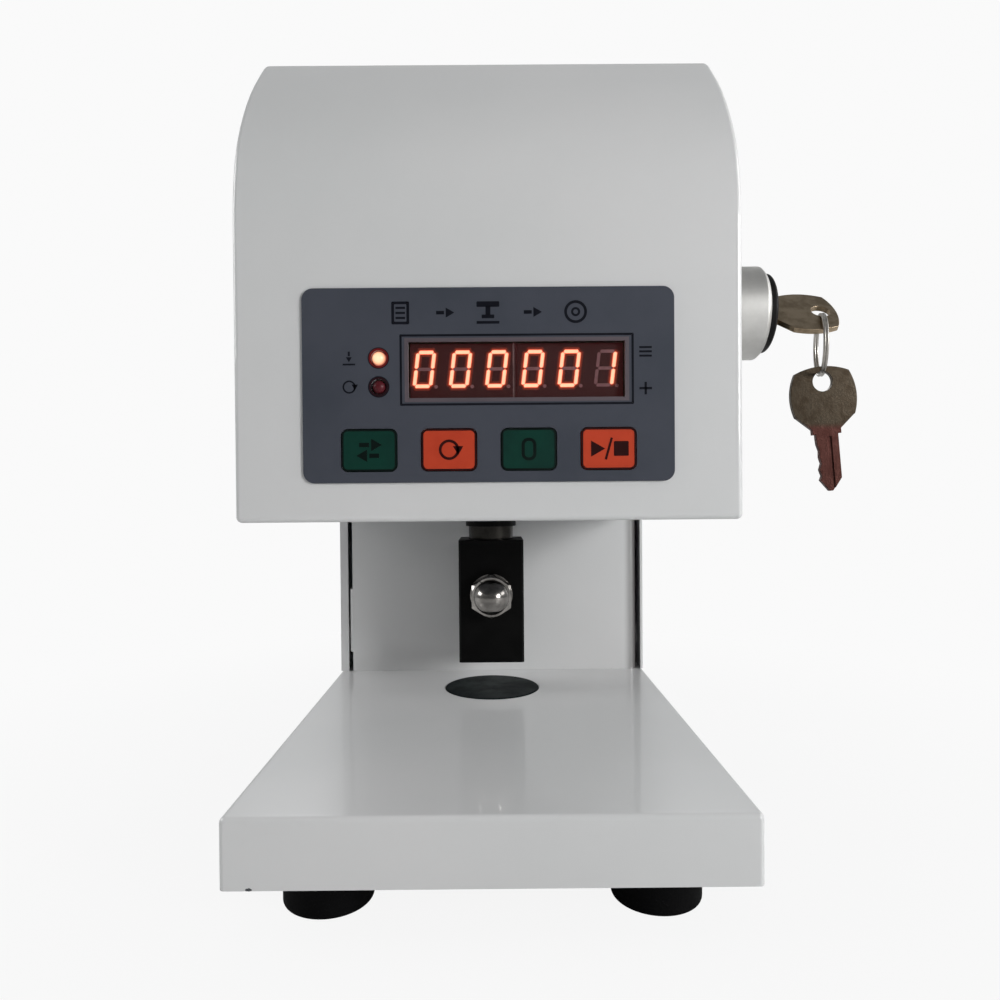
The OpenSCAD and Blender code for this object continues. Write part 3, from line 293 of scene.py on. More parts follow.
# Each finish: its effect, two tones, scales of grain and patches, roughness from smooth to rough, and the bump's
# strength and distance in metres; some have a stretch of the grain
FINISH = {
    "painted_sheet": gloss_white("painted_sheet"),
    # The column's front sheet: the same paint, with a painted shade by its seam added further down
    "column_sheet_painted_shade": gloss_white("column_sheet_painted_shade"),
    "plate_steel": make_finish("plate_steel", METAL, tone(120, 122, 126), tone(96, 98, 102), 300, 30, 0.3, 0.45,
                               (0.12, 0.0004), (1, 1, 14), Metallic=1),
    "steel": make_finish("steel", METAL, tone(196, 198, 202), tone(164, 166, 170), 700, 60, 0.29, 0.4,
                         (0.08, 0.0002), Metallic=1),
    "ram_steel": make_finish("ram_steel", METAL, tone(60, 58, 55), tone(44, 42, 40), 500, 90, 0.16, 0.25,
                             (0.03, 0.0002), (1, 1, 18), Metallic=1),
    "black_block": make_finish("black_block", METAL, tone(6, 6, 6), tone(10, 10, 10), 900, 70, 0.34, 0.5,
                               (0.1, 0.0002), (1, 1, 6), Specular_IOR_Level=0.08),
    "pad_green": make_finish("pad_green", METAL, tone(17, 25, 26), tone(13, 20, 21), 1200, 60, 0.35, 0.5,
                             (0.08, 0.0002), (8, 1, 1), Specular_IOR_Level=0.1, IOR=1.25),
    "foot_rubber": make_finish("foot_rubber", GRAIN, tone(6, 6, 7), tone(10, 10, 11), 1500, 60, 0.55, 0.75,
                               (0.25, 0.0003), Specular_IOR_Level=0.08),
    "bronze": make_finish("bronze", METAL, tone(176, 138, 84), tone(146, 110, 66), 600, 80, 0.29, 0.42,
                          (0.08, 0.0002), (1, 1, 12), Metallic=1),
    "black_plastic": make_finish("black_plastic", GRAIN, tone(15, 14, 14), tone(20, 19, 19), 2200, 80, 0.38, 0.55,
                                 (0.2, 0.0002), Specular_IOR_Level=0.15),
    "overlay_film": make_finish("overlay_film", GRAIN, tone(72, 75, 84), tone(64, 68, 77), 3200, 14, 0.42, 0.52,
                                (0.12, 0.0001), Specular_IOR_Level=0.15),
    "display_black": make_finish("display_black", GRAIN, tone(38, 17, 17), tone(29, 12, 13), 900, 40, 0.4, 0.6,
                                 (0.1, 0.0002), Emission_Color=tone(150, 20, 8), Emission_Strength=0.07),
    "led_lit": make_finish("led_lit", GRAIN, tone(92, 22, 22), tone(80, 18, 18), 400, 200, 0.29, 0.36,
                           (0.05, 0.0002), Emission_Strength=1.0),
    "led_dark": make_finish("led_dark", GRAIN, tone(86, 27, 34), tone(74, 22, 29), 400, 200, 0.32, 0.4,
                            (0.05, 0.0002), Specular_IOR_Level=0.2),
    "key_green": make_finish("key_green", GRAIN, tone(11, 55, 45), tone(8, 48, 40), 2800, 60, 0.4, 0.5,
                             (0.12, 0.0001), Specular_IOR_Level=0.15),
    "key_orange": make_finish("key_orange", GRAIN, tone(193, 68, 42), tone(184, 62, 38), 2800, 60, 0.4, 0.5,
                              (0.12, 0.0001), Specular_IOR_Level=0.15),
    "board_green": make_finish("board_green", GRAIN, tone(22, 84, 50), tone(16, 66, 40), 700, 120, 0.3, 0.45,
                               (0.1, 0.0002)),
    "bezel_satin": make_finish("bezel_satin", METAL, tone(213, 212, 209), tone(199, 198, 195), 900, 50, 0.4, 0.5,
                               (0.06, 0.0002), (22, 1, 1), Metallic=0.9),
    "contact_red": make_finish("contact_red", GRAIN, tone(170, 24, 24), tone(150, 18, 18), 1800, 80, 0.4, 0.55,
                               (0.15, 0.0002)),
    "key_nickel": make_finish("key_nickel", METAL, tone(172, 154, 130), tone(132, 116, 94), 800, 140, 0.29, 0.42,
                              (0.12, 0.0002), (1, 1, 9), Metallic=1),
    "key_tarnished": make_finish("key_tarnished", METAL, tone(72, 64, 54), tone(57, 49, 40), 900, 260, 0.32, 0.45,
                                 (0.2, 0.0003), Metallic=1),
    "ring_wire": make_finish("ring_wire", METAL, tone(190, 186, 180), tone(160, 156, 150), 900, 120, 0.3, 0.42,
                             (0.05, 0.0002), Metallic=1),
    "nut_steel": make_finish("nut_steel", METAL, tone(166, 162, 158), tone(128, 125, 121), 500, 90, 0.14, 0.25,
                             (0.03, 0.0002), Metallic=1),
    "ink": make_finish("ink", GRAIN, tone(12, 13, 22), tone(17, 19, 28), 2400, 60, 0.4, 0.55, (0.1, 0.0001),
                       Specular_IOR_Level=0.12),
    "ink_on_green": make_finish("ink_on_green", GRAIN, tone(5, 18, 15), tone(8, 23, 19), 2400, 60, 0.4, 0.55,
                                (0.1, 0.0001), Specular_IOR_Level=0.12),
    "ink_on_orange": make_finish("ink_on_orange", GRAIN, tone(42, 9, 9), tone(50, 12, 11), 2400, 60, 0.4, 0.55,
                                 (0.1, 0.0001), Specular_IOR_Level=0.12),
    "border_film": make_finish("border_film", GRAIN, tone(90, 80, 86), tone(82, 73, 79), 2400, 40, 0.4, 0.5,
                               (0.1, 0.0001)),
    "segment_lit": make_finish("segment_lit", GRAIN, tone(255, 150, 110), tone(255, 120, 80), 900, 300, 0.3, 0.4,
                               (0.05, 0.0001), Emission_Color=(1.0, 0.34, 0.22, 1), Emission_Strength=2.5),
    "segment_glow": make_finish("segment_glow", GRAIN, tone(200, 40, 16), tone(170, 30, 12), 900, 300, 0.3, 0.4,
                                (0.05, 0.0001), Emission_Color=(1.0, 0.2, 0.08, 1), Emission_Strength=0.6),
    "segment_halo": make_finish("segment_halo", GRAIN, tone(58, 14, 12), tone(48, 11, 10), 900, 300, 0.4, 0.5,
                                (0.05, 0.0001), Emission_Color=(1.0, 0.12, 0.05, 1), Emission_Strength=0.19),
    "segment_dark": make_finish("segment_dark", GRAIN, tone(170, 122, 124), tone(148, 104, 107), 900, 300,
                                0.3, 0.45, (0.05, 0.0001)),
    "led_rim": make_finish("led_rim", GRAIN, tone(110, 26, 27), tone(94, 20, 22), 900, 300, 0.3, 0.45,
                           (0.05, 0.0001), Specular_IOR_Level=0.2),
    "lamp_edge": make_finish("lamp_edge", GRAIN, tone(38, 15, 22), tone(30, 12, 17), 900, 300, 0.3, 0.45,
                             (0.05, 0.0001), Specular_IOR_Level=0.2),
    "seam": make_finish("seam", GRAIN, tone(150, 120, 118), tone(120, 96, 94), 900, 200, 0.4, 0.5, (0.05, 0.0001)),
    "window_tint": make_finish("window_tint", GRAIN, tone(60, 26, 26), tone(48, 20, 20), 900, 30, 0.08, 0.14,
                               (0.02, 0.0001), Alpha=0.16),
}


def run_into(finish, axis, start, end, tones):
    """Along an axis, from start to end, runs a finish into two other tones: the spare key's blade into its own
    darker tone, and the column's sheet into a painted shade by its seam.
    """
    tree = finish.node_tree
    surface = [part for part in tree.nodes if part.type == "GROUP"][0]
    place = tree.nodes.new("ShaderNodeSeparateXYZ")
    tree.links.new(tree.nodes.new("ShaderNodeTexCoord").outputs["Object"], place.inputs["Vector"])
    amount = spread(tree, place.outputs[axis], start, end)
    for socket, other in zip(("Tone", "Second tone"), tones):
        mix = tree.nodes.new("ShaderNodeMix")
        mix.data_type = "RGBA"
        tree.links.new(amount, mix.inputs["Factor"])
        mix.inputs["A"].default_value = surface.inputs[socket].default_value
        mix.inputs["B"].default_value = other
        tree.links.new(mix.outputs["Result"], surface.inputs[socket])


def shining_core(finish, node, reach, stops):
    """The light of a lamp: pale in its middle and red at its rim, by the distance from its axis."""
    x, z = middle(node)
    tree = finish.node_tree
    flat = tree.nodes.new("ShaderNodeVectorMath")
    flat.operation = "MULTIPLY"
    flat.inputs[1].default_value = (1, 0, 1)
    away = tree.nodes.new("ShaderNodeVectorMath")
    away.operation = "DISTANCE"
    away.inputs[1].default_value = (x, 0, z)
    tree.links.new(tree.nodes.new("ShaderNodeTexCoord").outputs["Object"], flat.inputs[0])
    tree.links.new(flat.outputs["Vector"], away.inputs[0])
    ranged = tree.nodes.new("ShaderNodeMapRange")
    tree.links.new(away.outputs["Value"], ranged.inputs["Value"])
    ranged.inputs["From Max"].default_value = reach
    ramp = tree.nodes.new("ShaderNodeValToRGB")
    ramp.color_ramp.elements.remove(ramp.color_ramp.elements[1])
    for place, colour in stops:
        ramp.color_ramp.elements.new(place).color = colour
    ramp.color_ramp.elements.remove(ramp.color_ramp.elements[0])
    tree.links.new(ranged.outputs["Result"], ramp.inputs["Fac"])
    tree.links.new(ramp.outputs["Color"], tree.nodes["Principled BSDF"].inputs["Emission Color"])


spare_low, spare_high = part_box("spare_key")
BLADE_SHARE = 0.53
BOW_FOOT = spare_low.z + BLADE_SHARE * (spare_high.z - spare_low.z)
BLADE_RUN = (BOW_FOOT + 1 * MM, BOW_FOOT - 2 * MM)
BLADE_TONES = (tone(81, 52, 47), tone(67, 41, 37))
# Painted shade: over the last 8 mm before its right bend, the column's front sheet runs into darker tones that
# stand in for the shadow in the seam
SEAM_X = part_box("column_front_panel")[1].x
SEAM_SHADE_RUN = (SEAM_X - 8 * MM, SEAM_X - 0.5 * MM)
SEAM_SHADE_TONES = (tone(100, 98, 97), tone(92, 90, 89))
LAMP_REACH = 2.9 * MM
LAMP_LIGHT = ((0.0, (1, 0.93, 0.6, 1)), (0.5, (1, 0.78, 0.47, 1)), (0.72, (1, 0.5, 0.28, 1)),
              (0.82, (0.5, 0.14, 0.09, 1)), (0.92, (0.06, 0.003, 0.003, 1)))
run_into(FINISH["key_tarnished"], "Z", *BLADE_RUN, BLADE_TONES)
# The column's sheet gets its painted shade by the seam
run_into(FINISH["column_sheet_painted_shade"], "X", *SEAM_SHADE_RUN, SEAM_SHADE_TONES)
shining_core(FINISH["led_lit"], "manual_led", LAMP_REACH, LAMP_LIGHT)


# CAD nodes: each takes the finish of its slot, or one of its own

SLOT_NODES = {
    "painted_sheet": ["base_cover", "head_cover", "column_front_panel", "column_left_side", "column_right_side",
                      "rear_cover"],
    "plate_steel": ["base_plate", "anvil_block", "left_frame_plate", "right_frame_plate", "ram_guide_block",
                    "head_floor", "gearbox"],
    "steel": ["foot_screws", "frame_screws", "tie_rods", "guide_screws", "cover_screws", "power_supply",
              "return_spring", "spring_collar", "roller_pin", "follower_roller", "clamp_stud", "clamp_washer",
              "press_cam", "cam_shaft", "cam_gear", "retaining_rings", "drive_pinion", "motor"],
    "ram_chrome": ["ram_shaft", "acorn_nut", "key_ring"],
    "black_block": ["die_holder", "guide_bush"],
    "pad_green": ["anvil_pad"],
    "foot_rubber": ["rubber_feet"],
    "bronze": ["shaft_bushes"],
    "black_plastic": ["power_inlet", "home_disc", "home_sensor", "lock_face", "lock_body", "board_parts"],
    "overlay_film": ["control_overlay"],
    "window_tint": ["display_window"],
    "display_black": ["display_modules"],
    "led_lit": ["manual_led"],
    "led_dark": ["auto_led"],
    "key_green": ["mode_key", "clear_key"],
    "key_orange": ["reset_key", "start_key"],
    "board_green": ["control_board"],
    "bezel_satin": ["lock_bezel"],
    "contact_red": ["contact_block"],
    "key_nickel": ["lock_plug", "switch_key", "spare_key"],
}
OWN_FINISH = {"column_front_panel": "column_sheet_painted_shade", "ram_shaft": "ram_steel", "acorn_nut": "nut_steel",
              "clamp_washer": "nut_steel", "spare_key": "key_tarnished", "key_ring": "ring_wire"}
slot_of_node = {}
finish_of_node = {}
for slot, members in SLOT_NODES.items():
    for node in members:
        slot_of_node[node] = slot
        finish_of_node[node] = FINISH[OWN_FINISH.get(node, slot)]
        nodes[node].data.materials.clear()
        nodes[node].data.materials.append(finish_of_node[node])


# Outer skins: the CAD forms with broken edges and smooth bends

def skin(node, edge=0.0, segments=0, shape=None):
    """A smooth copy of a CAD node that stands for it, shaped a little further, with its sharp edges broken."""
    put_tools_down()
    piece = copy_of(nodes[node])
    for key in list(piece.keys()):
        del piece[key]
    piece.parent = None
    piece.matrix_world = Matrix.Identity(4)
    piece.name = node + "_skin"
    piece.data.name = piece.name
    open_for_editing(piece)
    bpy.ops.mesh.remove_doubles(threshold=MERGE)
    bpy.ops.mesh.dissolve_degenerate(threshold=MERGE)
    bpy.ops.mesh.dissolve_limited(angle_limit=FLAT)
    if shape:
        shape(piece)
    bpy.ops.object.mode_set(mode="OBJECT")
    bpy.ops.object.shade_smooth_by_angle(angle=SHARP_SKIN)
    if edge:
        broken = piece.modifiers.new("broken_edges", "BEVEL")
        broken.width = edge
        broken.segments = segments
        broken.limit_method = "ANGLE"
        broken.angle_limit = SHARP_SKIN
        broken.harden_normals = False
        bpy.ops.object.modifier_apply(modifier=broken.name)
        open_for_editing(piece)
        bpy.ops.mesh.dissolve_degenerate(threshold=MERGE)
        bpy.ops.object.mode_set(mode="OBJECT")
        bpy.ops.object.shade_smooth_by_angle(angle=SHARP_SKIN)
    level = piece.modifiers.new("level_normals", "WEIGHTED_NORMAL")
    level.keep_sharp = True
    bpy.ops.object.modifier_apply(modifier=level.name)
    fit(piece, finish_of_node[node], body_of_node[node])
    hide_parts(node)
    return piece


# Each strip of the forehead, by its angle in degrees: how far it moves out and along, in millimetres
FOREHEAD_R = 90 * MM
FOREHEAD_WALL = 6 * MM
BROW = {20: (-0.3, 0), 25: (-0.8, 0), 30: (-1.2, 0), 35: (-1.4, 0), 40: (-1.4, 0), 45: (-1.2, 0), 50: (-0.4, 2.2),
        55: (1.2, 4.4), 60: (0.7, 2.2), 65: (0.2, 0)}
BROW_STEP = 55
BROW_BEND = 2.4 * MM
BROW_SEGMENTS = 4


def set_brow(piece):
    """Flattens the forehead a little, strip by strip, up to a soft brow that ends its outline."""
    low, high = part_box("head_cover")
    axis_y = low.y + FOREHEAD_R
    axis_z = high.z - FOREHEAD_R
    moves = {}
    for step, (out, along) in BROW.items():
        angle = math.radians(step)
        moves[step] = ((-out * math.cos(angle) + along * math.sin(angle)) * MM,
                       (out * math.sin(angle) + along * math.cos(angle)) * MM)
    strips = {}
    bpy.ops.object.mode_set(mode="OBJECT")
    for point in piece.data.vertices:
        out, up = axis_y - point.co.y, point.co.z - axis_z
        if out > 0 and up > 0 and math.hypot(out, up) > FOREHEAD_R - FOREHEAD_WALL:
            strips.setdefault(round(math.degrees(math.atan2(up, out))), set()).add(point.index)
    bpy.ops.object.mode_set(mode="EDIT")
    for step, (back, up) in moves.items():
        mark_numbers(piece, strips[step])
        bpy.ops.transform.translate(value=(0, back, up))
    mark_numbers(piece, strips[BROW_STEP])
    bpy.ops.mesh.bevel(offset=BROW_BEND, segments=BROW_SEGMENTS, affect="EDGES", clamp_overlap=True)


SCREW_CUT = 1 * MM


def low_heads(piece):
    """The screws under the head have low heads, which its front edge hides."""
    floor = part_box("head_cover")[0].z
    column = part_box("column_front_panel")[0].y
    mark_points(piece, lambda place: place.z < floor - SCREW_CUT and place.y < column)
    bpy.ops.transform.translate(value=(0, 0, SCREW_CUT))


SPARE_HOLE = Vector((133.53, 0, 191.46)) * MM
HOLE_REACH = 4.1 * MM
HOLE_EASE = 1.06


def ease_hole(piece):
    """Widens the spare key's hole a little, so that it swings free of the ring."""
    mark_points(piece, lambda place: math.hypot(place.x - SPARE_HOLE.x, place.z - SPARE_HOLE.z) < HOLE_REACH)
    bpy.ops.transform.resize(value=(HOLE_EASE, 1, HOLE_EASE), center_override=SPARE_HOLE)


def press_spring():
    """The return spring, which shortens as the ram comes down on it, gets a skin with a mesh of its own."""
    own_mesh(skin("return_spring"))


# Each skin: the width of its broken edges in millimetres, 0 for none, and their segments
SKINS = {"head_cover": (0, 0), "cover_screws": (0, 0), "base_cover": (0, 0), "column_front_panel": (0.2, 2),
         "column_left_side": (0.2, 2), "column_right_side": (0.2, 2), "rear_cover": (0.2, 2),
         "rubber_feet": (0.6, 3), "die_holder": (0.5, 3), "anvil_pad": (0.3, 2), "acorn_nut": (0.3, 3),
         "clamp_washer": (0.15, 2), "lock_bezel": (0.4, 3), "lock_face": (0.3, 2), "lock_plug": (0.2, 2),
         "switch_key": (0.22, 2), "spare_key": (0.22, 2), "control_overlay": (0.1, 2), "mode_key": (0.12, 2),
         "reset_key": (0.12, 2), "clear_key": (0.12, 2), "start_key": (0.12, 2), "manual_led": (0, 0),
         "auto_led": (0, 0)}
SHAPES = {"head_cover": set_brow, "cover_screws": low_heads, "spare_key": ease_hole}
for node, (edge, segments) in SKINS.items():
    skin(node, edge * MM, segments, SHAPES.get(node))
press_spring()


# Panel prints

FILM_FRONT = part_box("control_overlay")[0].y
PANEL_Z = middle("control_overlay")[1]
INK_DEPTH = 0.05 * MM
CORNER_SEGMENTS = 6


def raise_print(piece, line, depth):
    """Cuts a flat shape back to a line, where one is given, and draws it out to its depth."""
    if line:
        bpy.ops.mesh.inset(thickness=line, depth=0)
        bpy.ops.mesh.delete(type="FACE")
        bpy.ops.mesh.select_all(action="SELECT")
    bpy.ops.mesh.extrude_region_move(TRANSFORM_OT_translate={"value": (0, -2 * depth, 0)})
    return close_up(piece)


def plate(x, z, width, height, front, corner=0.0, line=0.0):
    """A flat plate that faces the user, or with a line width the outline of one."""
    put_tools_down()
    bpy.ops.mesh.primitive_plane_add(size=1, location=(x, front + INK_DEPTH, z), rotation=(RIGHT, 0, 0))
    piece = bpy.context.object
    piece.scale = (width, height, 1)
    bpy.ops.object.transform_apply(location=True, rotation=True, scale=True)
    open_for_editing(piece)
    if corner:
        bpy.ops.mesh.bevel(offset=corner, segments=CORNER_SEGMENTS, affect="VERTICES")
        bpy.ops.mesh.select_all(action="SELECT")
    return raise_print(piece, line, INK_DEPTH)


def disc(x, z, radius, front, line=0.0, corners=48, turn=0.0, depth=INK_DEPTH):
    """A round plate, or with a line width a ring; three corners make an arrow head."""
    put_tools_down()
    bpy.ops.mesh.primitive_circle_add(vertices=corners, radius=radius, fill_type="NGON",
                                      location=(x, front + depth, z), rotation=(RIGHT, turn, 0))
    piece = bpy.context.object
    bpy.ops.object.transform_apply(location=True, rotation=True, scale=True)
    open_for_editing(piece)
    return raise_print(piece, line, depth)


def leaned(piece, angle, x, z):
    """Turns a flat piece in the panel's plane about a point."""
    piece.data.transform(Matrix.Translation((x, 0, z)) @ Matrix.Rotation(angle, 4, "Y")
                         @ Matrix.Translation((-x, 0, -z)))
    return piece


def print_ink(name, pieces, body, finish="ink"):
    """Makes one print of its pieces, on the body that carries it."""
    fit(weld(name, pieces), FINISH[finish], body)


def arrow(x, z, length, front, turn):
    """An arrow of a bar and a head; turn 0 points up."""
    head = length * 0.28
    bar = length * 0.17
    parts = [disc(x, z + length / 2 - head, head, front, corners=3),
             plate(x, z - head * 0.7, bar, length - 2.2 * head, front)]
    return [leaned(part, turn, x, z) for part in parts]


TITLE_Z = PANEL_Z + 25.4 * MM
TITLE_PITCH = 15.4 * MM
TITLE_SIZE = 8 * MM
TITLE_LINE = 0.95 * MM


def title_signs():
    """The panel's top row: plain signs for a sheet, an arrow, a press, an arrow and a round seal."""
    size, line = TITLE_SIZE, TITLE_LINE
    left, right = -2 * TITLE_PITCH, 2 * TITLE_PITCH
    signs = [plate(left, TITLE_Z, size * 0.78, size, FILM_FRONT, 0.5 * MM, line)]
    for row in (-0.22, 0, 0.22):
        signs.append(plate(left, TITLE_Z + row * size, size * 0.42, line * 0.8, FILM_FRONT))
    signs += arrow(-TITLE_PITCH, TITLE_Z, size * 0.9, FILM_FRONT, RIGHT)
    for up, width, height, corner in ((0.36, size, 0.24, 0.3), (0.08, line * 1.8, 0.4, 0),
                                      (-0.18, size * 0.55, 0.16, 0.2), (-0.44, size, 0.12, 0)):
        signs.append(plate(0, TITLE_Z + size * up, width, size * height, FILM_FRONT, corner * MM))
    signs += arrow(TITLE_PITCH, TITLE_Z, size * 0.9, FILM_FRONT, RIGHT)
    signs.append(disc(right, TITLE_Z, size / 2, FILM_FRONT, line))
    signs.append(disc(right, TITLE_Z, size * 0.2, FILM_FRONT, line * 0.8))
    print_ink("title_signs", signs, "housing")


LAMP_SIGN_X = -10.4 * MM


def lamp_signs():
    """Beside the lamps: one stroke down for by hand, a loop for by itself."""
    x, z = middle("manual_led")
    x += LAMP_SIGN_X
    signs = arrow(x, z + 0.7 * MM, 4.2 * MM, FILM_FRONT, math.pi)
    signs.append(plate(x, z - 2.2 * MM, 4.4 * MM, 0.6 * MM, FILM_FRONT))
    x, z = middle("auto_led")
    x += LAMP_SIGN_X
    signs.append(disc(x, z, 2.3 * MM, FILM_FRONT, 0.55 * MM))
    signs.append(disc(x + 2 * MM, z + 0.2 * MM, 1.3 * MM, FILM_FRONT, corners=3, turn=math.pi))
    print_ink("lamp_signs", signs, "housing")


COUNT_X = 55.3 * MM
COUNT_SIZE = 4.4 * MM
STACK_ROWS = (9.8, 11.3, 12.8)
PLUS_Z = PANEL_Z - 1.6 * MM
PLUS_LINE = 0.8 * MM


def count_signs():
    """Right of the display: a stack of sheets, and a plus."""
    signs = [plate(COUNT_X, PANEL_Z + row * MM, COUNT_SIZE, 0.7 * MM, FILM_FRONT) for row in STACK_ROWS]
    signs.append(plate(COUNT_X, PLUS_Z, COUNT_SIZE, PLUS_LINE, FILM_FRONT))
    signs.append(plate(COUNT_X, PLUS_Z, PLUS_LINE, COUNT_SIZE, FILM_FRONT))
    print_ink("count_signs", signs, "housing")


WINDOW_X, WINDOW_Z = middle("display_window")
window_low, window_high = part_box("display_window")
WINDOW_W = window_high.x - window_low.x
WINDOW_H = window_high.z - window_low.z
OUTLINE_W, OUTLINE_H, OUTLINE_CORNER, OUTLINE_LINE = 82.3 * MM, 25 * MM, 0.4 * MM, 0.75 * MM
BORDER_W, BORDER_H, BORDER_LINE = WINDOW_W + 3 * MM, WINDOW_H + 2.6 * MM, 1.35 * MM


def display_frame():
    """A thin outline round the display, and a paler border in it."""
    outline = plate(WINDOW_X, WINDOW_Z, OUTLINE_W, OUTLINE_H, FILM_FRONT, OUTLINE_CORNER, OUTLINE_LINE)
    print_ink("display_outline", [outline], "housing")
    border = plate(WINDOW_X, WINDOW_Z, BORDER_W, BORDER_H, FILM_FRONT, line=BORDER_LINE)
    print_ink("display_border", [border], "housing", "border_film")


title_signs()
lamp_signs()
count_signs()
display_frame()


# Display digits

DIGIT_H = 13.6 * MM
DIGIT_W = 7.4 * MM
DIGIT_Z = WINDOW_Z + 0.6 * MM
ROW_X = WINDOW_X - 0.6 * MM
PITCH = 12.85 * MM
STROKE = 1.65 * MM
BAR_W = STROKE - 0.5 * MM
BAR_GAP = 0.55 * MM
BAR_DEPTH = 0.06 * MM
LEAN = math.tan(math.radians(7))
TILT = Matrix(((1, 0, LEAN, 0), (0, 1, 0, 0), (0, 0, 1, 0), (0, 0, 0, 1)))
REACH_X = DIGIT_W - STROKE
REACH_Z = (DIGIT_H - STROKE) / 2
POINT_R = 0.65 * MM
POINT_X = 0.66 * DIGIT_W - 0.8 * MM
POINT_Z = DIGIT_Z - DIGIT_H / 2 + 0.6 * MM
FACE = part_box("display_modules")[0].y
MODULE_SEAM_X = WINDOW_X - 1.1 * MM
MODULE_SEAM_W = 0.55 * MM
SEGMENTS = {"a": (0, 1, True), "b": (0.5, 0.5, False), "c": (0.5, -0.5, False), "d": (0, -1, True),
            "e": (-0.5, -0.5, False), "f": (-0.5, 0.5, False), "g": (0, 0, True)}
LIT = {"0": "abcdef", "1": "bc"}
SHOWN = "000001"
# Each layer: whether it shines, its growth and its place behind the face in millimetres, its finish and its slot
LAYERS = {"digits_lit": (True, 0, -0.03, "segment_lit", "led_lit"),
          "digits_glow": (True, 0.6, 0.01, "segment_glow", "led_lit"),
          "digits_halo": (True, 1.9, 0.03, "segment_halo", "led_lit"),
          "digits_dark": (False, 0, -0.03, "segment_dark", "display_black")}


def segment_bar(length, width, front):
    """One upright segment: a six-sided plate drawn out to a pointed bar."""
    put_tools_down()
    radius = width / math.sqrt(3)
    bpy.ops.mesh.primitive_circle_add(vertices=6, radius=radius, fill_type="NGON", location=(0, front, 0),
                                      rotation=(RIGHT, 0, 0))
    bar = bpy.context.object
    bpy.ops.object.transform_apply(location=True, rotation=True, scale=True)
    open_for_editing(bar)
    for side in (1, -1):
        mark_points(bar, lambda place: place.z * side > 0)
        bpy.ops.transform.translate(value=(0, 0, side * (length / 2 - radius)))
    bpy.ops.mesh.select_all(action="SELECT")
    bpy.ops.mesh.extrude_region_move(TRANSFORM_OT_translate={"value": (0, -BAR_DEPTH, 0)})
    return close_up(bar)


def digit_x(place):
    """The middle of the digit at a place in the row."""
    return ROW_X + (place - (len(SHOWN) - 1) / 2) * PITCH


def digit_segments(bar_up, bar_across, lit):
    """Copies of the two bars for all digits, either those that shine or those that don't."""
    pieces = []
    for place, digit in enumerate(SHOWN):
        for letter, (side, row, across) in SEGMENTS.items():
            if (letter in LIT[digit]) != lit:
                continue
            x = side * REACH_X
            z = row * REACH_Z
            move = Matrix.Translation((digit_x(place) + x + LEAN * z, 0, DIGIT_Z + z))
            pieces.append(copy_of(bar_across if across else bar_up, move @ TILT))
    return pieces


def digit_points():
    """The unlit point at the foot of each digit."""
    return [disc(digit_x(place) + POINT_X, POINT_Z, POINT_R, FACE, corners=24) for place in range(len(SHOWN))]


def display_digits():
    """The digits in layers: bright segments on a glow and a wider halo, and the segments that don't shine."""
    for name, (lit, grow, back, finish, slot) in LAYERS.items():
        front = FACE + back * MM
        up = segment_bar(REACH_Z - BAR_GAP + grow * MM, BAR_W + grow * MM, front)
        across = segment_bar(REACH_X - BAR_GAP + grow * MM, BAR_W + grow * MM, front)
        across.data.transform(Matrix.Rotation(RIGHT, 4, "Y"))
        pieces = digit_segments(up, across, lit)
        if not lit:
            pieces += digit_points()
        fit(weld(name, pieces), FINISH[finish], "housing")
        for bar in (up, across):
            bpy.data.objects.remove(bar)


def module_seam():
    """The joint between the two modules."""
    joint = plate(MODULE_SEAM_X, WINDOW_Z, MODULE_SEAM_W, WINDOW_H, FACE)
    fit(joint, FINISH["seam"], "housing").name = "module_seam"


display_digits()
module_seam()


# Lamps and keys

RIM_R, RIM_LINE = 3.5 * MM, 0.75 * MM
RING_R, RING_LINE = 3.75 * MM, 0.3 * MM


def lamp_rims():
    """A red rim round each lamp, in a thin dark ring."""
    for led, finish in (("manual_led", "led_rim"), ("auto_led", "lamp_edge")):
        x, z = middle(led)
        rim = disc(x, z, RIM_R, FILM_FRONT, RIM_LINE)
        fit(rim, FINISH[finish], "housing").name = led + "_rim"
        ring = disc(x, z, RING_R, FILM_FRONT, RING_LINE)
        fit(ring, FINISH["ink"], "housing").name = led + "_ring"


KEY_INK = {"key_green": "ink_on_green", "key_orange": "ink_on_orange"}
CAP_W, CAP_H, CAP_CORNER, CAP_LINE = 19.2 * MM, 14.6 * MM, 2.1 * MM, 0.6 * MM
SLASH_LEAN = math.radians(16)


def two_ways(x, z, front):
    """An arrow to the right over one to the left."""
    return (arrow(x, z + 1.9 * MM, 9 * MM, front, RIGHT)
            + arrow(x, z - 1.9 * MM, 9 * MM, front, -RIGHT))


def turn_back(x, z, front):
    """A loop with an arrow head."""
    return [disc(x, z, 3.6 * MM, front, 0.95 * MM),
            disc(x + 3.2 * MM, z + 0.2 * MM, 2.1 * MM, front, corners=3, turn=math.pi)]


def nought(x, z, front):
    """A tall ring."""
    return [plate(x, z, 5.2 * MM, 8 * MM, front, 2.4 * MM, 1.1 * MM)]


def go_or_stop(x, z, front):
    """A triangle, a slash and a square."""
    go = x - 4.6 * MM
    stop = x + 4.4 * MM
    return [leaned(disc(go, z, 3.3 * MM, front, corners=3), RIGHT, go, z),
            leaned(plate(x, z, 0.8 * MM, 8 * MM, front), SLASH_LEAN, x, z),
            plate(stop, z, 5.2 * MM, 5.2 * MM, front, 0.4 * MM)]


KEY_SIGNS = {"mode_key": two_ways, "reset_key": turn_back, "clear_key": nought, "start_key": go_or_stop}


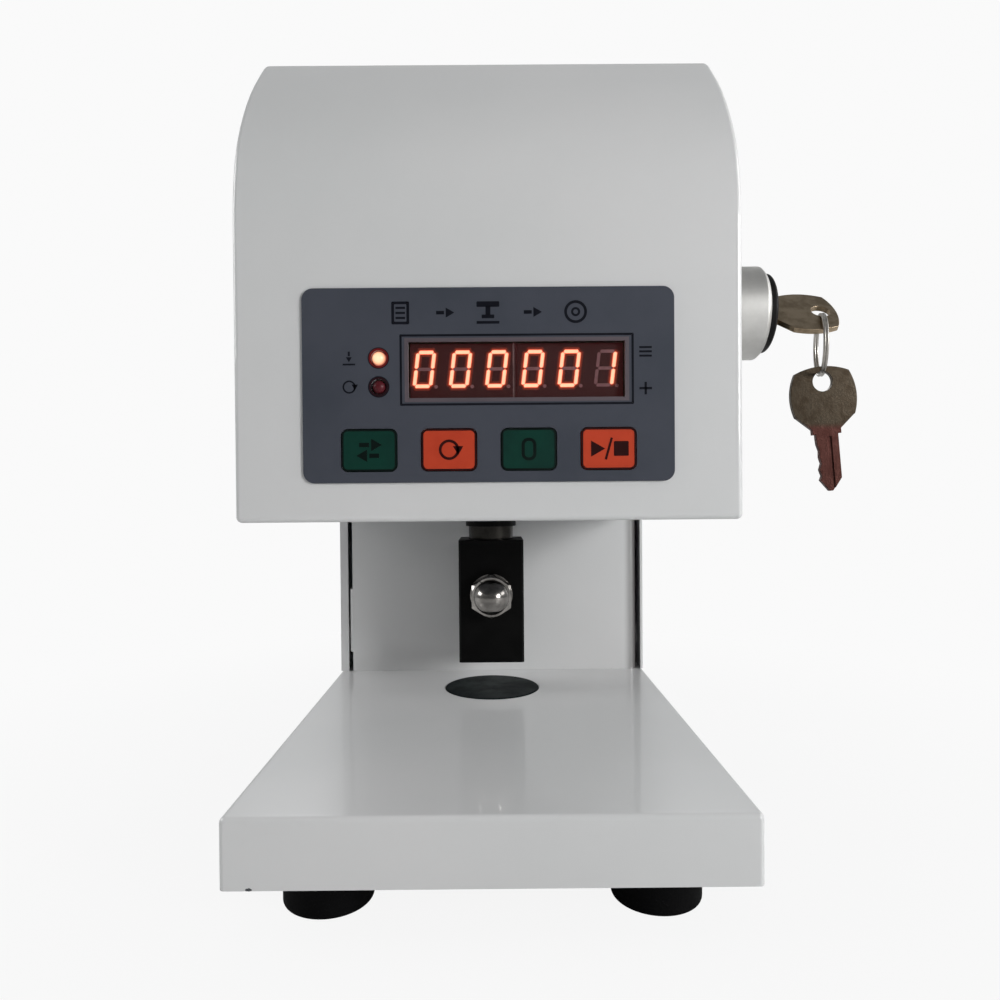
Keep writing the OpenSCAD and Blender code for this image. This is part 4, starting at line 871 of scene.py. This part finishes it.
def key_prints():
    """A dark outline round each key cap, and its plain sign."""
    for key, sign in KEY_SIGNS.items():
        x, z = middle(key)
        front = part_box(key)[0].y
        parts = [plate(x, z, CAP_W, CAP_H, front, CAP_CORNER, CAP_LINE)] + sign(x, z, front)
        print_ink(key + "_print", parts, body_of_node[key], KEY_INK[slot_of_node[key]])


lamp_rims()
key_prints()


# A chip in the paint at the foot of the base's front

CHIP_IN = 9.4 * MM
CHIP_UP = 0.45 * MM
CHIP_DEPTH = 0.02 * MM
# Each flake: its way along, its way up and its radius in millimetres
CHIP_FLAKES = ((0, 0, 0.5), (0.7, 0.05, 0.62), (1.3, -0.05, 0.4))


def paint_chip():
    """Three small flakes of bare steel that run into one."""
    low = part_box("base_cover")[0]
    flakes = [disc(low.x + CHIP_IN + along * MM, low.z + CHIP_UP + up * MM, radius * MM, low.y, corners=7,
                   depth=CHIP_DEPTH) for along, up, radius in CHIP_FLAKES]
    fit(weld("paint_chip", flakes), FINISH["plate_steel"], body_of_node["base_cover"])


paint_chip()


# Camera, light and floor

CAMERA_PLACE = (0.0012, -0.4152, 0.1486)
CAMERA_TILT = (89.22, 0.46, -0.15)
CAMERA_LENS, CAMERA_SENSOR = 27.52, 36
CAMERA_SHIFT = (0.0052, 0.0016)
BACKDROP = 0.955
ROOM_TINT = (0.97, 0.99, 1.0, 1)
ROOM_FRONT = 0.17
ROOM_BACK = 0.52
ROOM_RUN = (-0.1, 0.9)
# Each lamp: its place, where it points, its size and its power
LAMPS = {"window_light": ((1.15, -1.05, 0.5), (0, 0, 0.1), (0.5, 0.5), 14.4),
         "left_lamp": ((-1.2, -0.08, 0.72), (0, -0.06, 0.05), (0.7, 0.7), 7.5),
         "right_lamp": ((1.2, -0.08, 0.72), (0, -0.06, 0.05), (0.7, 0.7), 4.2),
         "back_lamp": ((0, 1.3, 0.88), (0, 0.1, 0.18), (1.2, 0.2), 3.8)}
FLOOR_SIZE = 14
FADE_START, FADE_END = 0.12, 0.42
FADE_LEAST = 0.94


def set_camera():
    """The photo's viewpoint: a wide lens close to the panel, almost level."""
    put_tools_down()
    bpy.ops.object.camera_add(location=CAMERA_PLACE, rotation=[math.radians(angle) for angle in CAMERA_TILT])
    camera = bpy.context.object
    camera.data.lens = CAMERA_LENS
    camera.data.sensor_width = CAMERA_SENSOR
    camera.data.shift_x, camera.data.shift_y = CAMERA_SHIFT
    bpy.context.scene.camera = camera


def lamp_panel(name, place, aim, size, power):
    """A flat lamp that points at its aim."""
    put_tools_down()
    bpy.ops.object.light_add(type="AREA", location=place)
    lamp = bpy.context.object
    lamp.name = name
    lamp.data.shape = "RECTANGLE"
    lamp.data.size, lamp.data.size_y = size
    lamp.data.energy = power
    lamp.rotation_euler = (Vector(aim) - Vector(place)).to_track_quat("-Z", "Y").to_euler()


def pale_to_the_eye(tree, lit, output, brightness):
    """The stage looks pale to the camera, and lights the object with its other shader."""
    seen = tree.nodes.new("ShaderNodeLightPath")
    pale = tree.nodes.new("ShaderNodeMixShader")
    glow = tree.nodes.new("ShaderNodeEmission")
    glow.inputs["Color"].default_value = (brightness, brightness, brightness, 1)
    tree.links.new(seen.outputs["Is Camera Ray"], pale.inputs["Fac"])
    tree.links.new(lit, pale.inputs[1])
    tree.links.new(glow.outputs["Emission"], pale.inputs[2])
    tree.links.new(pale.outputs["Shader"], output)
    return glow


def set_light():
    """A room that is brighter at its back, a window at the front right, and soft lamps to each side and behind."""
    room = bpy.context.scene.world or bpy.data.worlds.new("room")
    bpy.context.scene.world = room
    room.use_nodes = True
    tree = room.node_tree
    sky = tree.nodes["Background"]
    sky.inputs["Color"].default_value = ROOM_TINT
    way = tree.nodes.new("ShaderNodeSeparateXYZ")
    tree.links.new(tree.nodes.new("ShaderNodeTexCoord").outputs["Generated"], way.inputs["Vector"])
    tree.links.new(spread(tree, way.outputs["Y"], *ROOM_RUN, ROOM_FRONT, ROOM_BACK), sky.inputs["Strength"])
    pale_to_the_eye(tree, sky.outputs["Background"], tree.nodes["World Output"].inputs["Surface"], BACKDROP)
    for name, (place, aim, size, power) in LAMPS.items():
        lamp_panel(name, place, aim, size, power)


def set_floor():
    """A pale floor whose look runs out into the backdrop a little way from the object."""
    put_tools_down()
    bpy.ops.mesh.primitive_plane_add(size=FLOOR_SIZE, location=(0, 0, 0))
    floor = bpy.context.object
    floor.name = "floor"
    pale = make_finish("pale_floor", PAINT, tone(228, 228, 228), tone(224, 224, 224), 200, 3, 0.7, 0.8,
                       (0.02, 0.0002), Specular_IOR_Level=0.1)
    tree = pale.node_tree
    shader = tree.nodes["Principled BSDF"]
    glow = pale_to_the_eye(tree, shader.outputs["BSDF"], tree.nodes["Material Output"].inputs["Surface"], BACKDROP)
    sight = tree.nodes["Material Output"].inputs["Surface"].links[0].from_node
    near = tree.nodes.new("ShaderNodeVectorMath")
    near.operation = "LENGTH"
    tree.links.new(tree.nodes.new("ShaderNodeTexCoord").outputs["Object"], near.inputs[0])
    fade = tree.nodes.new("ShaderNodeMixShader")
    tree.links.new(spread(tree, near.outputs["Value"], FADE_START, FADE_END, FADE_LEAST, 1), fade.inputs["Fac"])
    tree.links.new(shader.outputs["BSDF"], fade.inputs[1])
    tree.links.new(glow.outputs["Emission"], fade.inputs[2])
    tree.links.new(fade.outputs["Shader"], sight.inputs[2])
    floor.data.materials.append(pale)


set_camera()
set_light()
set_floor()
bpy.context.scene.view_settings.view_transform = "Standard"
put_tools_down()
